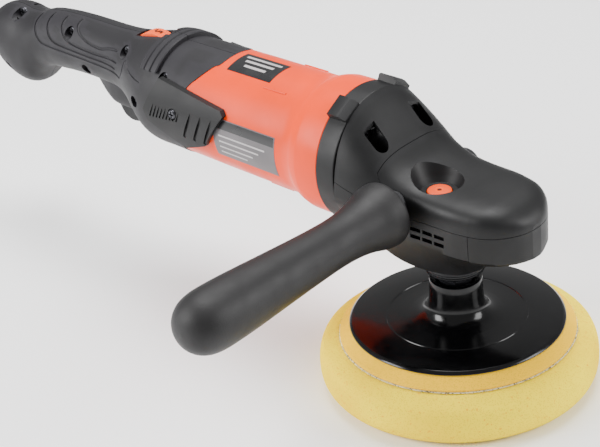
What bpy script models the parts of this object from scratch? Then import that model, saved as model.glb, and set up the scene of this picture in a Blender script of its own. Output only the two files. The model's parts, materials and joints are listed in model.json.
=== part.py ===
"""Rotary polisher, 180 mm pad, as an assembly of separate pieces.

Every size and place below is in millimetres and becomes Blender's metres where a mesh is made.
The origin is the middle of the pad's working face. +Z runs up the spindle, +X to the nose,
and the side handle points to -Y. The motor's axis lies along X at height AXIS_Z.
"""
import math

import bmesh
import bpy
from mathutils import Matrix, Vector

MM = 0.001
WELD = 0.00001
SLIVER = 0.000001
FIT = 0.3                    # gap left between touching pieces
SMOOTH_ANGLE = math.radians(32)

# ---- driving dimensions
AXIS_Z = 140.3               # motor axis above the pad's face
PAD_RADIUS = 90.0
PAD_THICKNESS = 31.8
LOOP_RADIUS = 76.0           # hook and loop face
DISC_RADIUS = 69.5
DISC_TOP = 43.1
HUB_RADIUS = 17.0
HUB_TOP = 71.3
SPINDLE_RADIUS = 7.0         # M14 thread
CROWN_RADIUS = 27.0
CROWN_TEETH = 24
PINION_TEETH = 8
PINION_RADIUS = 8.6
MOTOR_RADIUS = 40.3          # outside of the motor housing
WALL = 2.5
FLANGE_RADIUS = 46.0
FLANGE_REAR = -72.0
FLANGE_FRONT = -57.0
LUG_ANGLE = 31.0             # lugs, degrees from straight up and straight down
HEAD_SEAM_Z = 127.0          # joint between upper covers and lower bands
BAND_SPLIT_X = 38.0          # joint between side band and nose band
HEAD_SCREW_Y = 21.5
HEAD_SCREW_Z = 165.5
HANDLE_REAR = -427.5
GRIP_CENTRE = 9.6            # grip centre above the motor axis
GRIP_RADIUS = 21.5
SIDE_HANDLE_X = -17.2
SIDE_HANDLE_Z = 131.0
SIDE_HANDLE_BASE = -44.0
SIDE_HANDLE_TIP = -219.0
BOSS_RADIUS = 11.5
FAR_BOSS_RADIUS = 10.4
FAR_BOSS_Y = 37.5            # flat face of the unused boss
STUD_RADIUS = 5.0            # M10 thread
STUD_DEPTH = 12.5            # how far the side handle's stud enters its boss
LOCK_Y = -11.7
LOCK_TOP = 138.7
LOCK_RADIUS = 8.0
LOCK_BOSS_RADIUS = 9.0
DIAL_X = -257.0
DIAL_RADIUS = 22.0
DIAL_Z = 156.0
TRIGGER_PIVOT = (-266.0, 118.0)
SHAFT_RADIUS = 4.0

# ---- colours (sRGB) and finish: colour, roughness, metallic
FINISHES = {
    "orange_plastic": ((254, 124, 62), 0.42, 0.0),
    "black_plastic": ((52, 52, 56), 0.55, 0.0),
    "grip_rubber": ((62, 61, 66), 0.8, 0.0),
    "side_handle_rubber": ((46, 45, 48), 0.7, 0.0),
    "gloss_black": ((18, 18, 19), 0.2, 0.0),
    "pad_foam": ((246, 222, 74), 0.95, 0.0),
    "ring_foam": ((240, 219, 63), 0.9, 0.0),
    "hook_loop": ((120, 112, 70), 0.95, 0.0),
    "cast_aluminium": ((60, 60, 63), 0.5, 0.6),
    "steel": ((176, 178, 182), 0.3, 1.0),
    "dark_steel": ((60, 60, 64), 0.4, 1.0),
    "copper": ((196, 116, 64), 0.35, 1.0),
    "lamination": ((96, 98, 102), 0.5, 0.9),
    "brass": ((200, 168, 88), 0.35, 1.0),
    "carbon": ((30, 30, 31), 0.8, 0.0),
    "board_green": ((34, 92, 60), 0.5, 0.0),
    "fan_plastic": ((216, 210, 196), 0.5, 0.0),
    "dial_orange": ((250, 128, 50), 0.45, 0.0),
}

TURN = {
    "Z": (0.0, 0.0, 0.0),
    "X": (0.0, math.pi / 2, 0.0),
    "Y": (-math.pi / 2, 0.0, 0.0),
}


def clear_scene():
    for obj in list(bpy.data.objects):
        bpy.data.objects.remove(obj, do_unlink=True)


def new_collection(name):
    collection = bpy.data.collections.new(name)
    bpy.context.scene.collection.children.link(collection)
    return collection


def linear(channel):
    value = channel / 255.0
    return value / 12.92 if value <= 0.04045 else ((value + 0.055) / 1.055) ** 2.4


def make_material(name, colour, roughness, metallic):
    mat = bpy.data.materials.new(name)
    mat.use_nodes = True
    shader = mat.node_tree.nodes["Principled BSDF"]
    shader.inputs["Base Color"].default_value = [linear(c) for c in colour] + [1.0]
    shader.inputs["Roughness"].default_value = roughness
    shader.inputs["Metallic"].default_value = metallic
    return mat


clear_scene()
PARTS = new_collection("rotary_polisher")
CUTTERS = new_collection("cutters")
MATERIALS = {name: make_material(name, *finish) for name, finish in FINISHES.items()}


# ---- shape tools -------------------------------------------------------------

def place(name, mesh, at=(0, 0, 0), axis="Z"):
    """A new object at a point given in millimetres, its local Z along the axis."""
    obj = bpy.data.objects.new(name, mesh)
    obj.location = Vector(at) * MM
    obj.rotation_euler = TURN[axis]
    CUTTERS.objects.link(obj)
    obj.hide_render = True
    obj.display_type = "WIRE"
    return obj


def freeze(obj):
    """Give the object its evaluated mesh and drop its modifiers."""
    bpy.context.view_layer.update()
    graph = bpy.context.evaluated_depsgraph_get()
    mesh = bpy.data.meshes.new_from_object(obj.evaluated_get(graph))
    obj.modifiers.clear()
    obj.data = mesh
    return obj


def combine(obj, tool, operation):
    """Boolean one shape with another, which is used up."""
    modifier = obj.modifiers.new("combine", "BOOLEAN")
    modifier.operation = operation
    modifier.solver = "EXACT"
    modifier.object = tool
    freeze(obj)
    bpy.data.objects.remove(tool, do_unlink=True)
    return obj


def cut(obj, *tools):
    for tool in tools:
        combine(obj, tool, "DIFFERENCE")
    return obj


def join(obj, *tools):
    for tool in tools:
        combine(obj, tool, "UNION")
    return obj


def common(obj, tool):
    return combine(obj, tool, "INTERSECT")


def from_bmesh(name, shape, at=(0, 0, 0), axis="Z"):
    mesh = bpy.data.meshes.new(name)
    shape.to_mesh(mesh)
    shape.free()
    return place(name, mesh, at, axis)


def box(name, size, centre, tilt=0.0):
    """A block; tilt turns it about Y, in degrees."""
    shape = bmesh.new()
    bmesh.ops.create_cube(shape, size=1.0)
    bmesh.ops.scale(shape, vec=Vector(size) * MM, verts=shape.verts)
    obj = from_bmesh(name, shape, centre)
    obj.rotation_euler.y = math.radians(tilt)
    return obj


def rod(name, radius, length, centre, axis="Z", steps=24, tip_radius=None):
    """A cylinder or cone about its own middle."""
    shape = bmesh.new()
    end = radius if tip_radius is None else tip_radius
    bmesh.ops.create_cone(shape, cap_ends=True, segments=steps, radius1=radius * MM,
                          radius2=end * MM, depth=length * MM)
    return from_bmesh(name, shape, centre, axis)


def turned(name, profile, at=(0, 0, 0), axis="Z", steps=40, ring=False):
    """Turn a profile of (radius, height) points, given down its outer side.

    A ring's profile closes on itself; any other starts and ends on the axis.
    """
    points = [(r * MM, 0.0, z * MM) for r, z in profile]
    edges = [(i, i + 1) for i in range(len(points) - 1)]
    if ring:
        edges.append((len(points) - 1, 0))
    mesh = bpy.data.meshes.new(name)
    mesh.from_pydata(points, edges, [])
    obj = place(name, mesh, at, axis)
    screw = obj.modifiers.new("turn", "SCREW")
    screw.steps = steps
    screw.render_steps = steps
    screw.use_merge_vertices = True
    screw.merge_threshold = WELD
    return freeze(obj)


def tube_ring(name, outer, inner, length, centre, axis="Z", steps=40):
    """A plain hollow cylinder about its own middle."""
    half = length / 2
    profile = [(outer, half), (outer, -half), (inner, -half), (inner, half)]
    return turned(name, profile, centre, axis, steps, ring=True)


def plate(name, outline, thickness, at=(0, 0, 0), axis="Z", holes=()):
    """A flat outline with holes, extruded to both sides of its plane."""
    curve = bpy.data.curves.new(name, "CURVE")
    curve.dimensions = "2D"
    curve.fill_mode = "BOTH"
    curve.extrude = thickness * MM / 2
    for loop in (outline, *holes):
        spline = curve.splines.new("POLY")
        spline.points.add(len(loop) - 1)
        spline.use_cyclic_u = True
        for point, (u, v) in zip(spline.points, loop):
            point.co = (u * MM, v * MM, 0.0, 1.0)
    return weld_curve(name, curve, at, axis)


def weld_curve(name, curve, at, axis="Z"):
    """Turn a curve into a mesh and weld its loose caps."""
    draft = bpy.data.objects.new(name + "_draft", curve)
    CUTTERS.objects.link(draft)
    bpy.context.view_layer.update()
    graph = bpy.context.evaluated_depsgraph_get()
    mesh = bpy.data.meshes.new_from_object(draft.evaluated_get(graph))
    bpy.data.objects.remove(draft, do_unlink=True)
    shape = bmesh.new()
    shape.from_mesh(mesh)
    bmesh.ops.remove_doubles(shape, verts=shape.verts, dist=WELD)
    bmesh.ops.recalc_face_normals(shape, faces=shape.faces)
    return from_bmesh(name, shape, at, axis)


def side_prism(name, outline, width, y=0.0):
    """Extrude an outline of (x, z) points along Y."""
    flipped = [(x, -z) for x, z in outline]
    return plate(name, flipped, width, (0, y, 0), "Y")


def wire(name, points, radius, closed=False, sides=2):
    """A round wire through points in millimetres."""
    curve = bpy.data.curves.new(name, "CURVE")
    curve.dimensions = "3D"
    curve.bevel_depth = radius * MM
    curve.bevel_resolution = sides
    curve.use_fill_caps = True
    spline = curve.splines.new("POLY")
    spline.points.add(len(points) - 1)
    spline.use_cyclic_u = closed
    for point, place_mm in zip(spline.points, points):
        point.co = (*[c * MM for c in place_mm], 1.0)
    return weld_curve(name, curve, (0, 0, 0))


def coil(name, radius, wire_radius, height, turns, centre, axis="Z", per_turn=9):
    """A compression spring that starts at its centre point and rises along the axis."""
    count = turns * per_turn + 1
    points = []
    for i in range(count):
        angle = 2 * math.pi * i / per_turn
        rise = wire_radius + (height - 2 * wire_radius) * i / (count - 1)
        points.append((radius * math.cos(angle), radius * math.sin(angle), rise))
    obj = wire(name, points, wire_radius, sides=0)
    obj.location = Vector(centre) * MM
    obj.rotation_euler = TURN[axis]
    return obj


def oval(x, centre_z, half_y, up, down, power, count):
    """One closed section across X: a superellipse with its own heights above and below."""
    ring = []
    for i in range(count):
        angle = 2 * math.pi * i / count
        c, s = math.cos(angle), math.sin(angle)
        y = half_y * math.copysign(abs(c) ** (2 / power), c)
        z = (up if s > 0 else down) * math.copysign(abs(s) ** (2 / power), s)
        ring.append((x, y, centre_z + z))
    return ring


def loft(name, rings):
    """A closed skin through rings of equal count, each end closed flat."""
    shape = bmesh.new()
    rows = [[shape.verts.new(Vector(p) * MM) for p in ring] for ring in rings]
    count = len(rows[0])
    for near, far in zip(rows, rows[1:]):
        for i in range(count):
            j = (i + 1) % count
            shape.faces.new((near[i], near[j], far[j], far[i]))
    shape.faces.new(list(reversed(rows[0])))
    shape.faces.new(rows[-1])
    bmesh.ops.recalc_face_normals(shape, faces=shape.faces)
    return from_bmesh(name, shape)


def blend(table, x):
    """Values of a station table at x, straight between stations."""
    if x <= table[0][0]:
        return table[0][1:]
    for low, high in zip(table, table[1:]):
        if x <= high[0]:
            t = (x - low[0]) / (high[0] - low[0])
            return tuple(a + (b - a) * t for a, b in zip(low[1:], high[1:]))
    return table[-1][1:]


def empty(name, at):
    """A frame for moving pieces, on their joint's axis."""
    obj = bpy.data.objects.new(name, None)
    obj.location = Vector(at) * MM
    PARTS.objects.link(obj)
    return obj


def finish(obj, material, parent):
    """Make a shape a piece of the polisher: material, smooth shading, collection, parent."""
    shape = bmesh.new()
    shape.from_mesh(obj.data)
    bmesh.ops.remove_doubles(shape, verts=shape.verts, dist=SLIVER)
    shape.to_mesh(obj.data)
    shape.free()
    obj.data.materials.clear()
    obj.data.materials.append(MATERIALS[material])
    obj.data.shade_smooth()
    obj.data.set_sharp_from_angle(angle=SMOOTH_ANGLE)
    CUTTERS.objects.unlink(obj)
    PARTS.objects.link(obj)
    obj.hide_render = False
    obj.display_type = "TEXTURED"
    obj.parent = parent
    obj.matrix_parent_inverse = Matrix.Translation(-parent.location)
    return obj


# ---- pad, backing plate and spindle ----------------------------------------

def make_pad(parent):
    edge, top = PAD_RADIUS, PAD_THICKNESS
    profile = [(0, top), (LOOP_RADIUS, top), (80, 30.6), (84.5, 28.4), (88.3, 25.0), (edge, 18),
               (89.6, 9.5), (87.0, 3.8), (82, 0.6), (77, 0), (0, 0)]
    finish(turned("polishing_pad", profile, steps=44), "pad_foam", parent)


def make_hook_loop(parent):
    low, high = PAD_THICKNESS + FIT, PAD_THICKNESS + 1.1
    profile = [(0, high), (LOOP_RADIUS, high), (LOOP_RADIUS, low), (0, low)]
    finish(turned("hook_loop_layer", profile, steps=44), "hook_loop", parent)


def make_backing_foam(parent):
    low, high = PAD_THICKNESS + 1.4, DISC_TOP - 2.4
    profile = [(0, high), (DISC_RADIUS - 0.5, high), (72.5, 37.4), (LOOP_RADIUS, 34.2),
               (LOOP_RADIUS, low), (0, low)]
    finish(turned("backing_foam", profile, steps=44), "ring_foam", parent)


def make_backing_plate(parent):
    """Moulded disc with a threaded hub that is open at the top."""
    floor = DISC_TOP - 2.1
    profile = [(0, 52), (SPINDLE_RADIUS + FIT, 52), (SPINDLE_RADIUS + FIT, 64.5), (13.2, 64.5),
               (13.2, HUB_TOP), (16.4, HUB_TOP), (HUB_RADIUS, HUB_TOP - 0.8), (17.6, 56), (19.6, 50),
               (24, 46), (31, 44.6), (DISC_RADIUS - 1.9, DISC_TOP), (DISC_RADIUS, DISC_TOP - 1.4),
               (DISC_RADIUS, floor), (0, floor)]
    finish(turned("backing_plate", profile, steps=32), "gloss_black", parent)


def make_spindle(parent):
    """M14 end in the hub, wrench flats above it, journals and the gear seat."""
    profile = [(0, 129), (6, 129), (6, 111.2), (7.2, 111.2), (7.2, 83.6), (9.5, 83.6),
               (9.5, 78.6), (11.2, 78.6), (11.2, 70), (9.6, 66.2), (SPINDLE_RADIUS, 66.2),
               (SPINDLE_RADIUS, 54), (0, 54)]
    obj = turned("spindle", profile, steps=20)
    for side in (-1, 1):
        cut(obj, box("flat", (30, 6, 6), (0, side * 11.6, 74.2)))
    finish(obj, "steel", parent)


def toothed_ring(teeth, tip, root, z):
    """Outline of a gear as points at height z, four to a tooth."""
    ring = []
    for i in range(teeth * 4):
        radius = tip if i % 4 in (1, 2) else root
        angle = 2 * math.pi * (i + 0.5 * (i % 2)) / (teeth * 4)
        ring.append((radius * math.cos(angle), radius * math.sin(angle), z))
    return ring


def make_crown_gear(parent):
    """Bevel wheel: conical teeth round a dished web with four holes for the lock pin."""
    rings = [toothed_ring(CROWN_TEETH, CROWN_RADIUS, CROWN_RADIUS - 2.2, 126.0),
             toothed_ring(CROWN_TEETH, CROWN_RADIUS, CROWN_RADIUS - 2.6, 131.0),
             toothed_ring(CROWN_TEETH, 22.0, 21.7, 132.6)]
    obj = loft("crown_gear", rings)
    join(obj, turned("web", [(0, 129), (9, 129), (22, 129), (22, 121), (12, 121), (10, 117),
                             (0, 117)], steps=24))
    cut(obj, turned("dish", [(0, 140), (21.2, 140), (21.2, 126.5), (0, 126.5)], steps=24))
    join(obj, tube_ring("hub", 8.6, 5, 10, (0, 0, 123.5), steps=16))
    cut(obj, rod("bore", 6 + FIT, 40, (0, 0, 123), steps=16))
    for quarter in range(4):
        angle = quarter * math.pi / 2
        centre = (abs(LOCK_Y) * math.sin(angle), -abs(LOCK_Y) * math.cos(angle), 124)
        cut(obj, rod("lock_hole", 3.1, 20, centre, steps=10))
    finish(obj, "steel", parent)


def make_bearing(name, bore, outer, width, centre, axis, parent):
    """Ball bearing: both races and the shields between them as one chamfered ring."""
    half = width / 2
    edge = 0.6
    profile = [(outer - edge, half), (outer, half - edge), (outer, -half + edge), (outer - edge, -half),
               (bore, -half), (bore, half)]
    finish(turned(name, profile, centre, axis, 20, ring=True), "steel", parent)


# ---- head: gear case, covers, bands, lock button ------------------------------

# x, half width, top, roundness power, then the lower outline: crease (y, z), corner (y, z), floor z
HEAD_STATIONS = [
    (-57, 46.0, 186.3, 2.25, 38.0, 114.4, 24.0, 101.1, 95.2),
    (-51, 45.6, 180.5, 2.35, 38.6, 113.0, 25.0, 98.6, 93.4),
    (-45, 44.8, 174.0, 2.5, 38.8, 111.8, 26.0, 96.2, 91.6),
    (-38, 43.2, 166.3, 2.75, 38.8, 110.8, 27.0, 93.6, 89.6),
    (-31, 41.2, 159.3, 3.0, 38.4, 110.2, 27.4, 91.2, 87.6),
    (-24, 39.2, 153.6, 3.2, 37.8, 110.0, 27.2, 89.0, 85.8),
    (-16, 37.4, 149.2, 3.5, 36.8, 110.0, 26.4, 87.2, 84.2),
    (-6, 35.8, 146.0, 3.8, 35.7, 110.0, 25.0, 86.0, 83.0),
    (6, 35.0, 144.4, 4.0, 34.9, 110.0, 23.0, 86.0, 83.0),
    (18, 34.8, 144.0, 4.0, 34.7, 110.0, 20.0, 87.2, 84.6),
    (28, 34.5, 143.9, 4.0, 34.4, 110.0, 16.5, 91.0, 89.0),
    (BAND_SPLIT_X - 0.1, 33.0, 143.4, 3.9, 32.5, 109.8, 14.0, 101.0, 99.0),
    (BAND_SPLIT_X + 0.1, 33.0, 143.4, 3.9, 32.7, 109.6, 30.4, 107.0, 107.0),
    (46, 30.6, 142.8, 3.8, 30.3, 109.6, 28.0, 107.0, 107.0),
    (54, 25.6, 140.6, 3.4, 25.3, 109.6, 23.0, 107.0, 107.0),
    (60, 18.6, 137.2, 3.0, 18.3, 109.6, 16.0, 107.0, 107.0),
    (63.6, 11.6, 133.6, 2.8, 11.3, 109.6, 9.0, 107.0, 107.0),
    (65.5, 4.0, 129.6, 2.5, 3.8, 109.6, 3.0, 107.0, 107.0),
]


def head_ring(station, inset, arch_points):
    """One closed section of the head: rounded arch, straight walls, tapered underside."""
    x, half_width, top, power, crease_y, crease_z, corner_y, corner_z, floor = station
    half_width -= inset
    height = top - inset - HEAD_SEAM_Z
    upper = []
    for i in range(arch_points + 1):
        angle = math.pi * i / arch_points
        c, s = math.cos(angle), math.sin(angle)
        y = half_width * math.copysign(abs(c) ** (2 / power), c)
        upper.append((x, y, HEAD_SEAM_Z + height * s ** (2 / power)))
    right = [(crease_y - inset, crease_z + inset * 0.5), (corner_y - inset * 0.8, corner_z + inset),
             (corner_y * 0.4, floor + inset)]
    lower = [(x, -y, z) for y, z in right] + [(x, y, z) for y, z in reversed(right)]
    return upper + lower


def head_rings(inset):
    """All sections of the head; the hollow's are coarser and run on past the open rear end."""
    rings = []
    arch_points = 10 if inset else 16
    for station in HEAD_STATIONS:
        if inset and station[1] < inset + 6:
            continue
        ring = head_ring(station, inset, arch_points)
        x = station[0]
        if inset and x == FLANGE_FRONT:
            x -= 5
        elif inset and x > 46:
            x -= inset * 0.8
        rings.append([(x, y, z) for _, y, z in ring])
    return rings


def head_skin():
    """The whole head as one hollow shell, before it is parted into covers and bands."""
    outer = loft("head_skin", head_rings(0.0))
    cut(outer, loft("head_hollow", head_rings(WALL)))
    for side, radius in ((-1, BOSS_RADIUS), (1, FAR_BOSS_RADIUS)):
        cut(outer, rod("handle_opening", radius + FIT, 40,
                       (SIDE_HANDLE_X, side * 45, SIDE_HANDLE_Z), "Y", 24))
    return outer


def seam_side(grow):
    """Side view of the region below the main seam, raised at the rear beside the flange."""
    drop = -grow / 2
    return [(-70, 145 + drop), (-57, 141 + drop), (-36, 134 + drop), (-20, HEAD_SEAM_Z + drop),
            (80, HEAD_SEAM_Z + drop), (80, 70), (-70, 70)]


def palm_side(grow):
    """Side view of the palm cover's region, stepped down in front of the slope cover."""
    shift = -grow / 2
    return [(-30 - shift, 210), (-30 - shift, 150), (-26 - shift, 145), (-9 - shift, 137),
            (-8 - shift, 110), (90, 110), (90, 210)]


def make_palm_cover(parent):
    """Front upper cover with the lock button's dish."""
    obj = head_skin()
    obj.name = "palm_cover"
    common(obj, side_prism("palm_region", palm_side(FIT), 140))
    cut(obj, side_prism("below_seam", seam_side(-FIT), 140))
    floor = LOCK_TOP - 1.3
    cup = turned("dish_cup", [(0, 152), (21.5, 152), (17.5, 144), (15.8, 140.4), (13.4, 135.8),
                              (0, 135.8)], (0, LOCK_Y, 0), steps=24)
    join(obj, common(cup, loft("hood", head_rings(0.6))))
    cut(obj, turned("dish", [(0, 152), (19.2, 152), (15.0, 143.8), (11.6, floor), (0, floor)],
                    (0, LOCK_Y, 0), steps=28))
    cut(obj, rod("button_hole", LOCK_RADIUS + 0.35, 30, (0, LOCK_Y, 134), steps=24))
    finish(obj, "black_plastic", parent)


def make_slope_cover(parent):
    """Rear upper cover, with a screw pocket on each side of its slope."""
    obj = head_skin()
    obj.name = "slope_cover"
    pockets = []
    for side in (-1, 1):
        y = side * HEAD_SCREW_Y
        pocket = box("pocket", (17, 10.4, 22), (-44, y, 170))
        join(pocket, rod("pocket_end", 5.2, 22, (-35.4, y, 170), steps=16))
        pockets.append(pocket)
        liner = box("liner", (21.3, 13, 13.5), (-46.15, y, 163))
        join(liner, rod("liner_end", 6.5, 13.5, (-35.6, y, 163), steps=16))
        join(obj, common(liner, loft("hood", head_rings(0.6))))
    cut(obj, side_prism("palm_region", palm_side(-FIT), 140))
    cut(obj, side_prism("below_seam", seam_side(-FIT), 140))
    cut(obj, *pockets)
    for side in (-1, 1):
        cut(obj, rod("screw_hole", 2.3, 20, (-60, side * HEAD_SCREW_Y, HEAD_SCREW_Z), "X", 10))
    finish(obj, "black_plastic", parent)


def make_bands(parent):
    """Lower shroud: a side band with vent slots and a nose band in front of it."""
    side = head_skin()
    side.name = "side_band"
    common(side, side_prism("seam_region", seam_side(FIT), 140))
    nose = side.copy()
    nose.data = side.data.copy()
    nose.name = "nose_band"
    CUTTERS.objects.link(nose)
    cut(side, box("front_half", (60, 140, 90), (BAND_SPLIT_X + 30 - FIT / 2, 0, 110)))
    cut(nose, box("rear_half", (140, 140, 90), (BAND_SPLIT_X - 70 + FIT / 2, 0, 110)))
    cut(side, rod("neck_opening", 19.2, 30, (0, 0, 82), steps=32))
    for y in (-36, 36):
        for z, centre_x in ((120.6, 8.6), (115.4, 8.0)):
            cut(side, box("vent_slot", (26, 12, 2.6), (centre_x, y, z)))
    finish(side, "black_plastic", parent)
    finish(nose, "black_plastic", parent)


def make_gear_housing(parent):
    """Cast case: bowl round the crown gear, barrel to the motor, and two handle bosses."""
    bowl = turned("gear_housing", [(0, 134.9), (27, 134.9), (30, 132.5), (31, 129), (31, 112),
                                   (28, 105), (23, 96), (18.8, 89), (18.8, 81), (0, 81)], steps=24)
    barrel = turned("barrel", [(0, 30), (24, 30), (33, 18), (38.5, 2), (38.5, -2), (0, -2)],
                    (-55, 0, AXIS_Z), "X", 20)
    cut(barrel, side_prism("slope_cut", [(-70, 155.2), (-36, 155.2), (-24, 149.8), (-20, 147.6),
                                         (-15, 134.9), (60, 134.9), (60, 240), (-70, 240)], 120))
    for side in (-1, 1):
        cut(barrel, box("shoulder", (49, 40, 30), (-22.5, side * 34.8, 161)))
    join(bowl, barrel)
    near_length = -SIDE_HANDLE_BASE - FIT - 26
    join(bowl, rod("near_boss", BOSS_RADIUS, near_length,
                   (SIDE_HANDLE_X, -26 - near_length / 2, SIDE_HANDLE_Z), "Y", 20))
    far_length = FAR_BOSS_Y - 26
    join(bowl, rod("far_boss", FAR_BOSS_RADIUS, far_length,
                   (SIDE_HANDLE_X, 26 + far_length / 2, SIDE_HANDLE_Z), "Y", 20))
    join(bowl, rod("lock_boss", LOCK_BOSS_RADIUS, 5.2, (0, LOCK_Y, 132.6), steps=16))
    cavity = turned("cavity", [(0, 133.7), (28.4, 133.7), (28.4, 112.4), (16, 110.4), (16, 100.6),
                               (12, 100.6), (12, 96), (16, 96), (16, 70), (0, 70)], steps=20)
    cut(cavity, rod("keep_lock", LOCK_BOSS_RADIUS, 5.2, (0, LOCK_Y, 132.6), steps=16))
    throat = turned("throat", [(0, 42), (11, 42), (13.4, 27), (13.4, 6), (30, 0), (34, -12), (0, -12)],
                    (-55, 0, AXIS_Z), "X", 20)
    cut(throat, side_prism("throat_top", [(-33, 152.9), (-24, 148.6), (-21, 147.0), (-16.2, 133.7),
                                          (30, 133.7), (30, 200), (-33, 200)], 100))
    cut(bowl, cavity, throat)
    for side, face in ((-1, -SIDE_HANDLE_BASE), (1, FAR_BOSS_Y)):
        y = side * (face - STUD_DEPTH - 0.5 + 15)
        cut(bowl, rod("handle_socket", STUD_RADIUS + FIT, 30, (SIDE_HANDLE_X, y, SIDE_HANDLE_Z), "Y", 12))
    cut(bowl, rod("cap_well", LOCK_RADIUS + 0.4, 10, (0, LOCK_Y, 138.0), steps=20))
    cut(bowl, rod("spring_well", 6.4, 10, (0, LOCK_Y, 136.2), steps=16))
    cut(bowl, rod("pin_hole", 2.8, 20, (0, LOCK_Y, 130), steps=12))
    finish(bowl, "cast_aluminium", parent)


def make_bearing_retainer(parent):
    """Ring under the bowl that holds the lower bearing."""
    profile = [(18.8, 80.7), (18.8, 78.4), (17.4, 77), (12.2, 77), (12.2, 80), (10, 80), (10, 84.6),
               (15.6, 84.6), (15.6, 80.7)]
    finish(turned("bearing_retainer", profile, steps=24, ring=True), "cast_aluminium", parent)


def make_lock_button(frame):
    """Orange cap with a small dimple, on a steel pin."""
    cap = turned("lock_button", [(0, 137.9), (1.3, 137.9), (1.3, LOCK_TOP), (LOCK_RADIUS - 0.7, LOCK_TOP),
                                 (LOCK_RADIUS, LOCK_TOP - 0.7), (LOCK_RADIUS, 136.4), (0, 136.4)],
                 (0, LOCK_Y, 0), steps=24)
    finish(cap, "dial_orange", frame)
    pin = turned("lock_pin", [(0, 136.1), (3.2, 136.1), (3.2, 134.6), (2.5, 134.6), (2.5, 127.9),
                              (0, 127.9)], (0, LOCK_Y, 0), steps=12)
    finish(pin, "steel", frame)


def make_lock_spring(parent):
    spring = coil("lock_spring", 4.9, 0.5, 4.4, 3, (0, LOCK_Y, 131.5))
    finish(spring, "steel", parent)


# ---- motor: housing, flange, stator and rotor -----------------------------------

def housing_split(x_shift):
    """Side view of everything behind the motor housing's curved rear edge."""
    edge = [(-178, AXIS_Z + 60), (-181.5, AXIS_Z + 39), (-186, AXIS_Z + 35.5), (-193, AXIS_Z + 29),
            (-199, AXIS_Z + 22), (-203, AXIS_Z + 8), (-206, AXIS_Z - 12), (-211, AXIS_Z - 32),
            (-214, AXIS_Z - 60)]
    moved = [(x + x_shift, z) for x, z in edge]
    return moved + [(-520, AXIS_Z - 60), (-520, AXIS_Z + 60)]


def make_motor_housing(parent):
    """Orange tube, slightly tapered, flared to the flange."""
    front = FLANGE_REAR - FIT
    flare = [(45.2, front), (45.0, -91), (43.6, -96.5), (41.4, -101), (MOTOR_RADIUS, -108)]
    tail = [(39.6, -170), (38.8, -215)]
    inner = [(36.2, -215), (36.2, -112), (38.5, -100), (42.0, -92), (42.4, front)]
    obj = turned("motor_housing", flare + tail + inner, (0, 0, AXIS_Z), "X", 40, ring=True)
    cut(obj, side_prism("behind", housing_split(FIT / 2), 120))
    finish(obj, "orange_plastic", parent)


def make_flange_ring(parent):
    """Black ring with four lugs outside and two posts inside for the head screws."""
    web_front = FLANGE_REAR + 5
    profile = [(44.6, FLANGE_FRONT - FIT), (FLANGE_RADIUS, FLANGE_FRONT - 1.6),
               (FLANGE_RADIUS, FLANGE_REAR), (14, FLANGE_REAR), (14, web_front),
               (36.6, web_front), (36.6, FLANGE_FRONT - FIT)]
    obj = turned("flange_ring", profile, (0, 0, AXIS_Z), "X", 40, ring=True)
    outline = [(FLANGE_REAR, 40), (FLANGE_REAR, 49.4), (FLANGE_REAR + 1, 50.2),
               (-63.5, 50.2), (FLANGE_FRONT - FIT, 47.6), (FLANGE_FRONT - FIT, 40)]
    for angle in (-LUG_ANGLE, LUG_ANGLE, 180 - LUG_ANGLE, 180 + LUG_ANGLE):
        lug = side_prism("lug", outline, 15)
        lug.location.z = AXIS_Z * MM
        lug.rotation_euler.x += math.radians(angle)
        join(obj, lug)
    for side in (-1, 1):
        post = rod("post", 5, 13, (-64.3, side * HEAD_SCREW_Y, HEAD_SCREW_Z), "X", 12)
        join(obj, post)
        cut(obj, rod("screw_hole", 2.3, 20, (-61, side * HEAD_SCREW_Y, HEAD_SCREW_Z), "X", 10))
    finish(obj, "black_plastic", parent)


def make_stator(parent):
    """Laminated stator: yoke with two pole arcs, and a slot on each side for the coils."""
    obj = tube_ring("stator_core", 34.6, 22.4, 62, (-148, 0, AXIS_Z), "X", 36)
    for side in (-1, 1):
        cut(obj, box("slot", (70, 22, 26), (-148, side * 19.5, AXIS_Z)))
    finish(obj, "lamination", parent)
    for name, side in (("field_coil_upper", 1), ("field_coil_lower", -1)):
        make_field_coil(name, side, parent)


def make_field_coil(name, side, parent):
    """One closed winding round a pole: two straight sides in the slots and two arched ends."""
    radius, gap_angle, steps = 27.0, math.radians(14), 8
    front, rear = -111.5, -184.5
    arc = [gap_angle + (math.pi - 2 * gap_angle) * i / steps for i in range(steps + 1)]
    points = [(front, radius * math.cos(a), AXIS_Z + side * radius * math.sin(a)) for a in arc]
    points += [(rear, radius * math.cos(a), AXIS_Z + side * radius * math.sin(a))
               for a in reversed(arc)]
    finish(wire(name, points, 2.7, closed=True, sides=1), "copper", parent)


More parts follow.
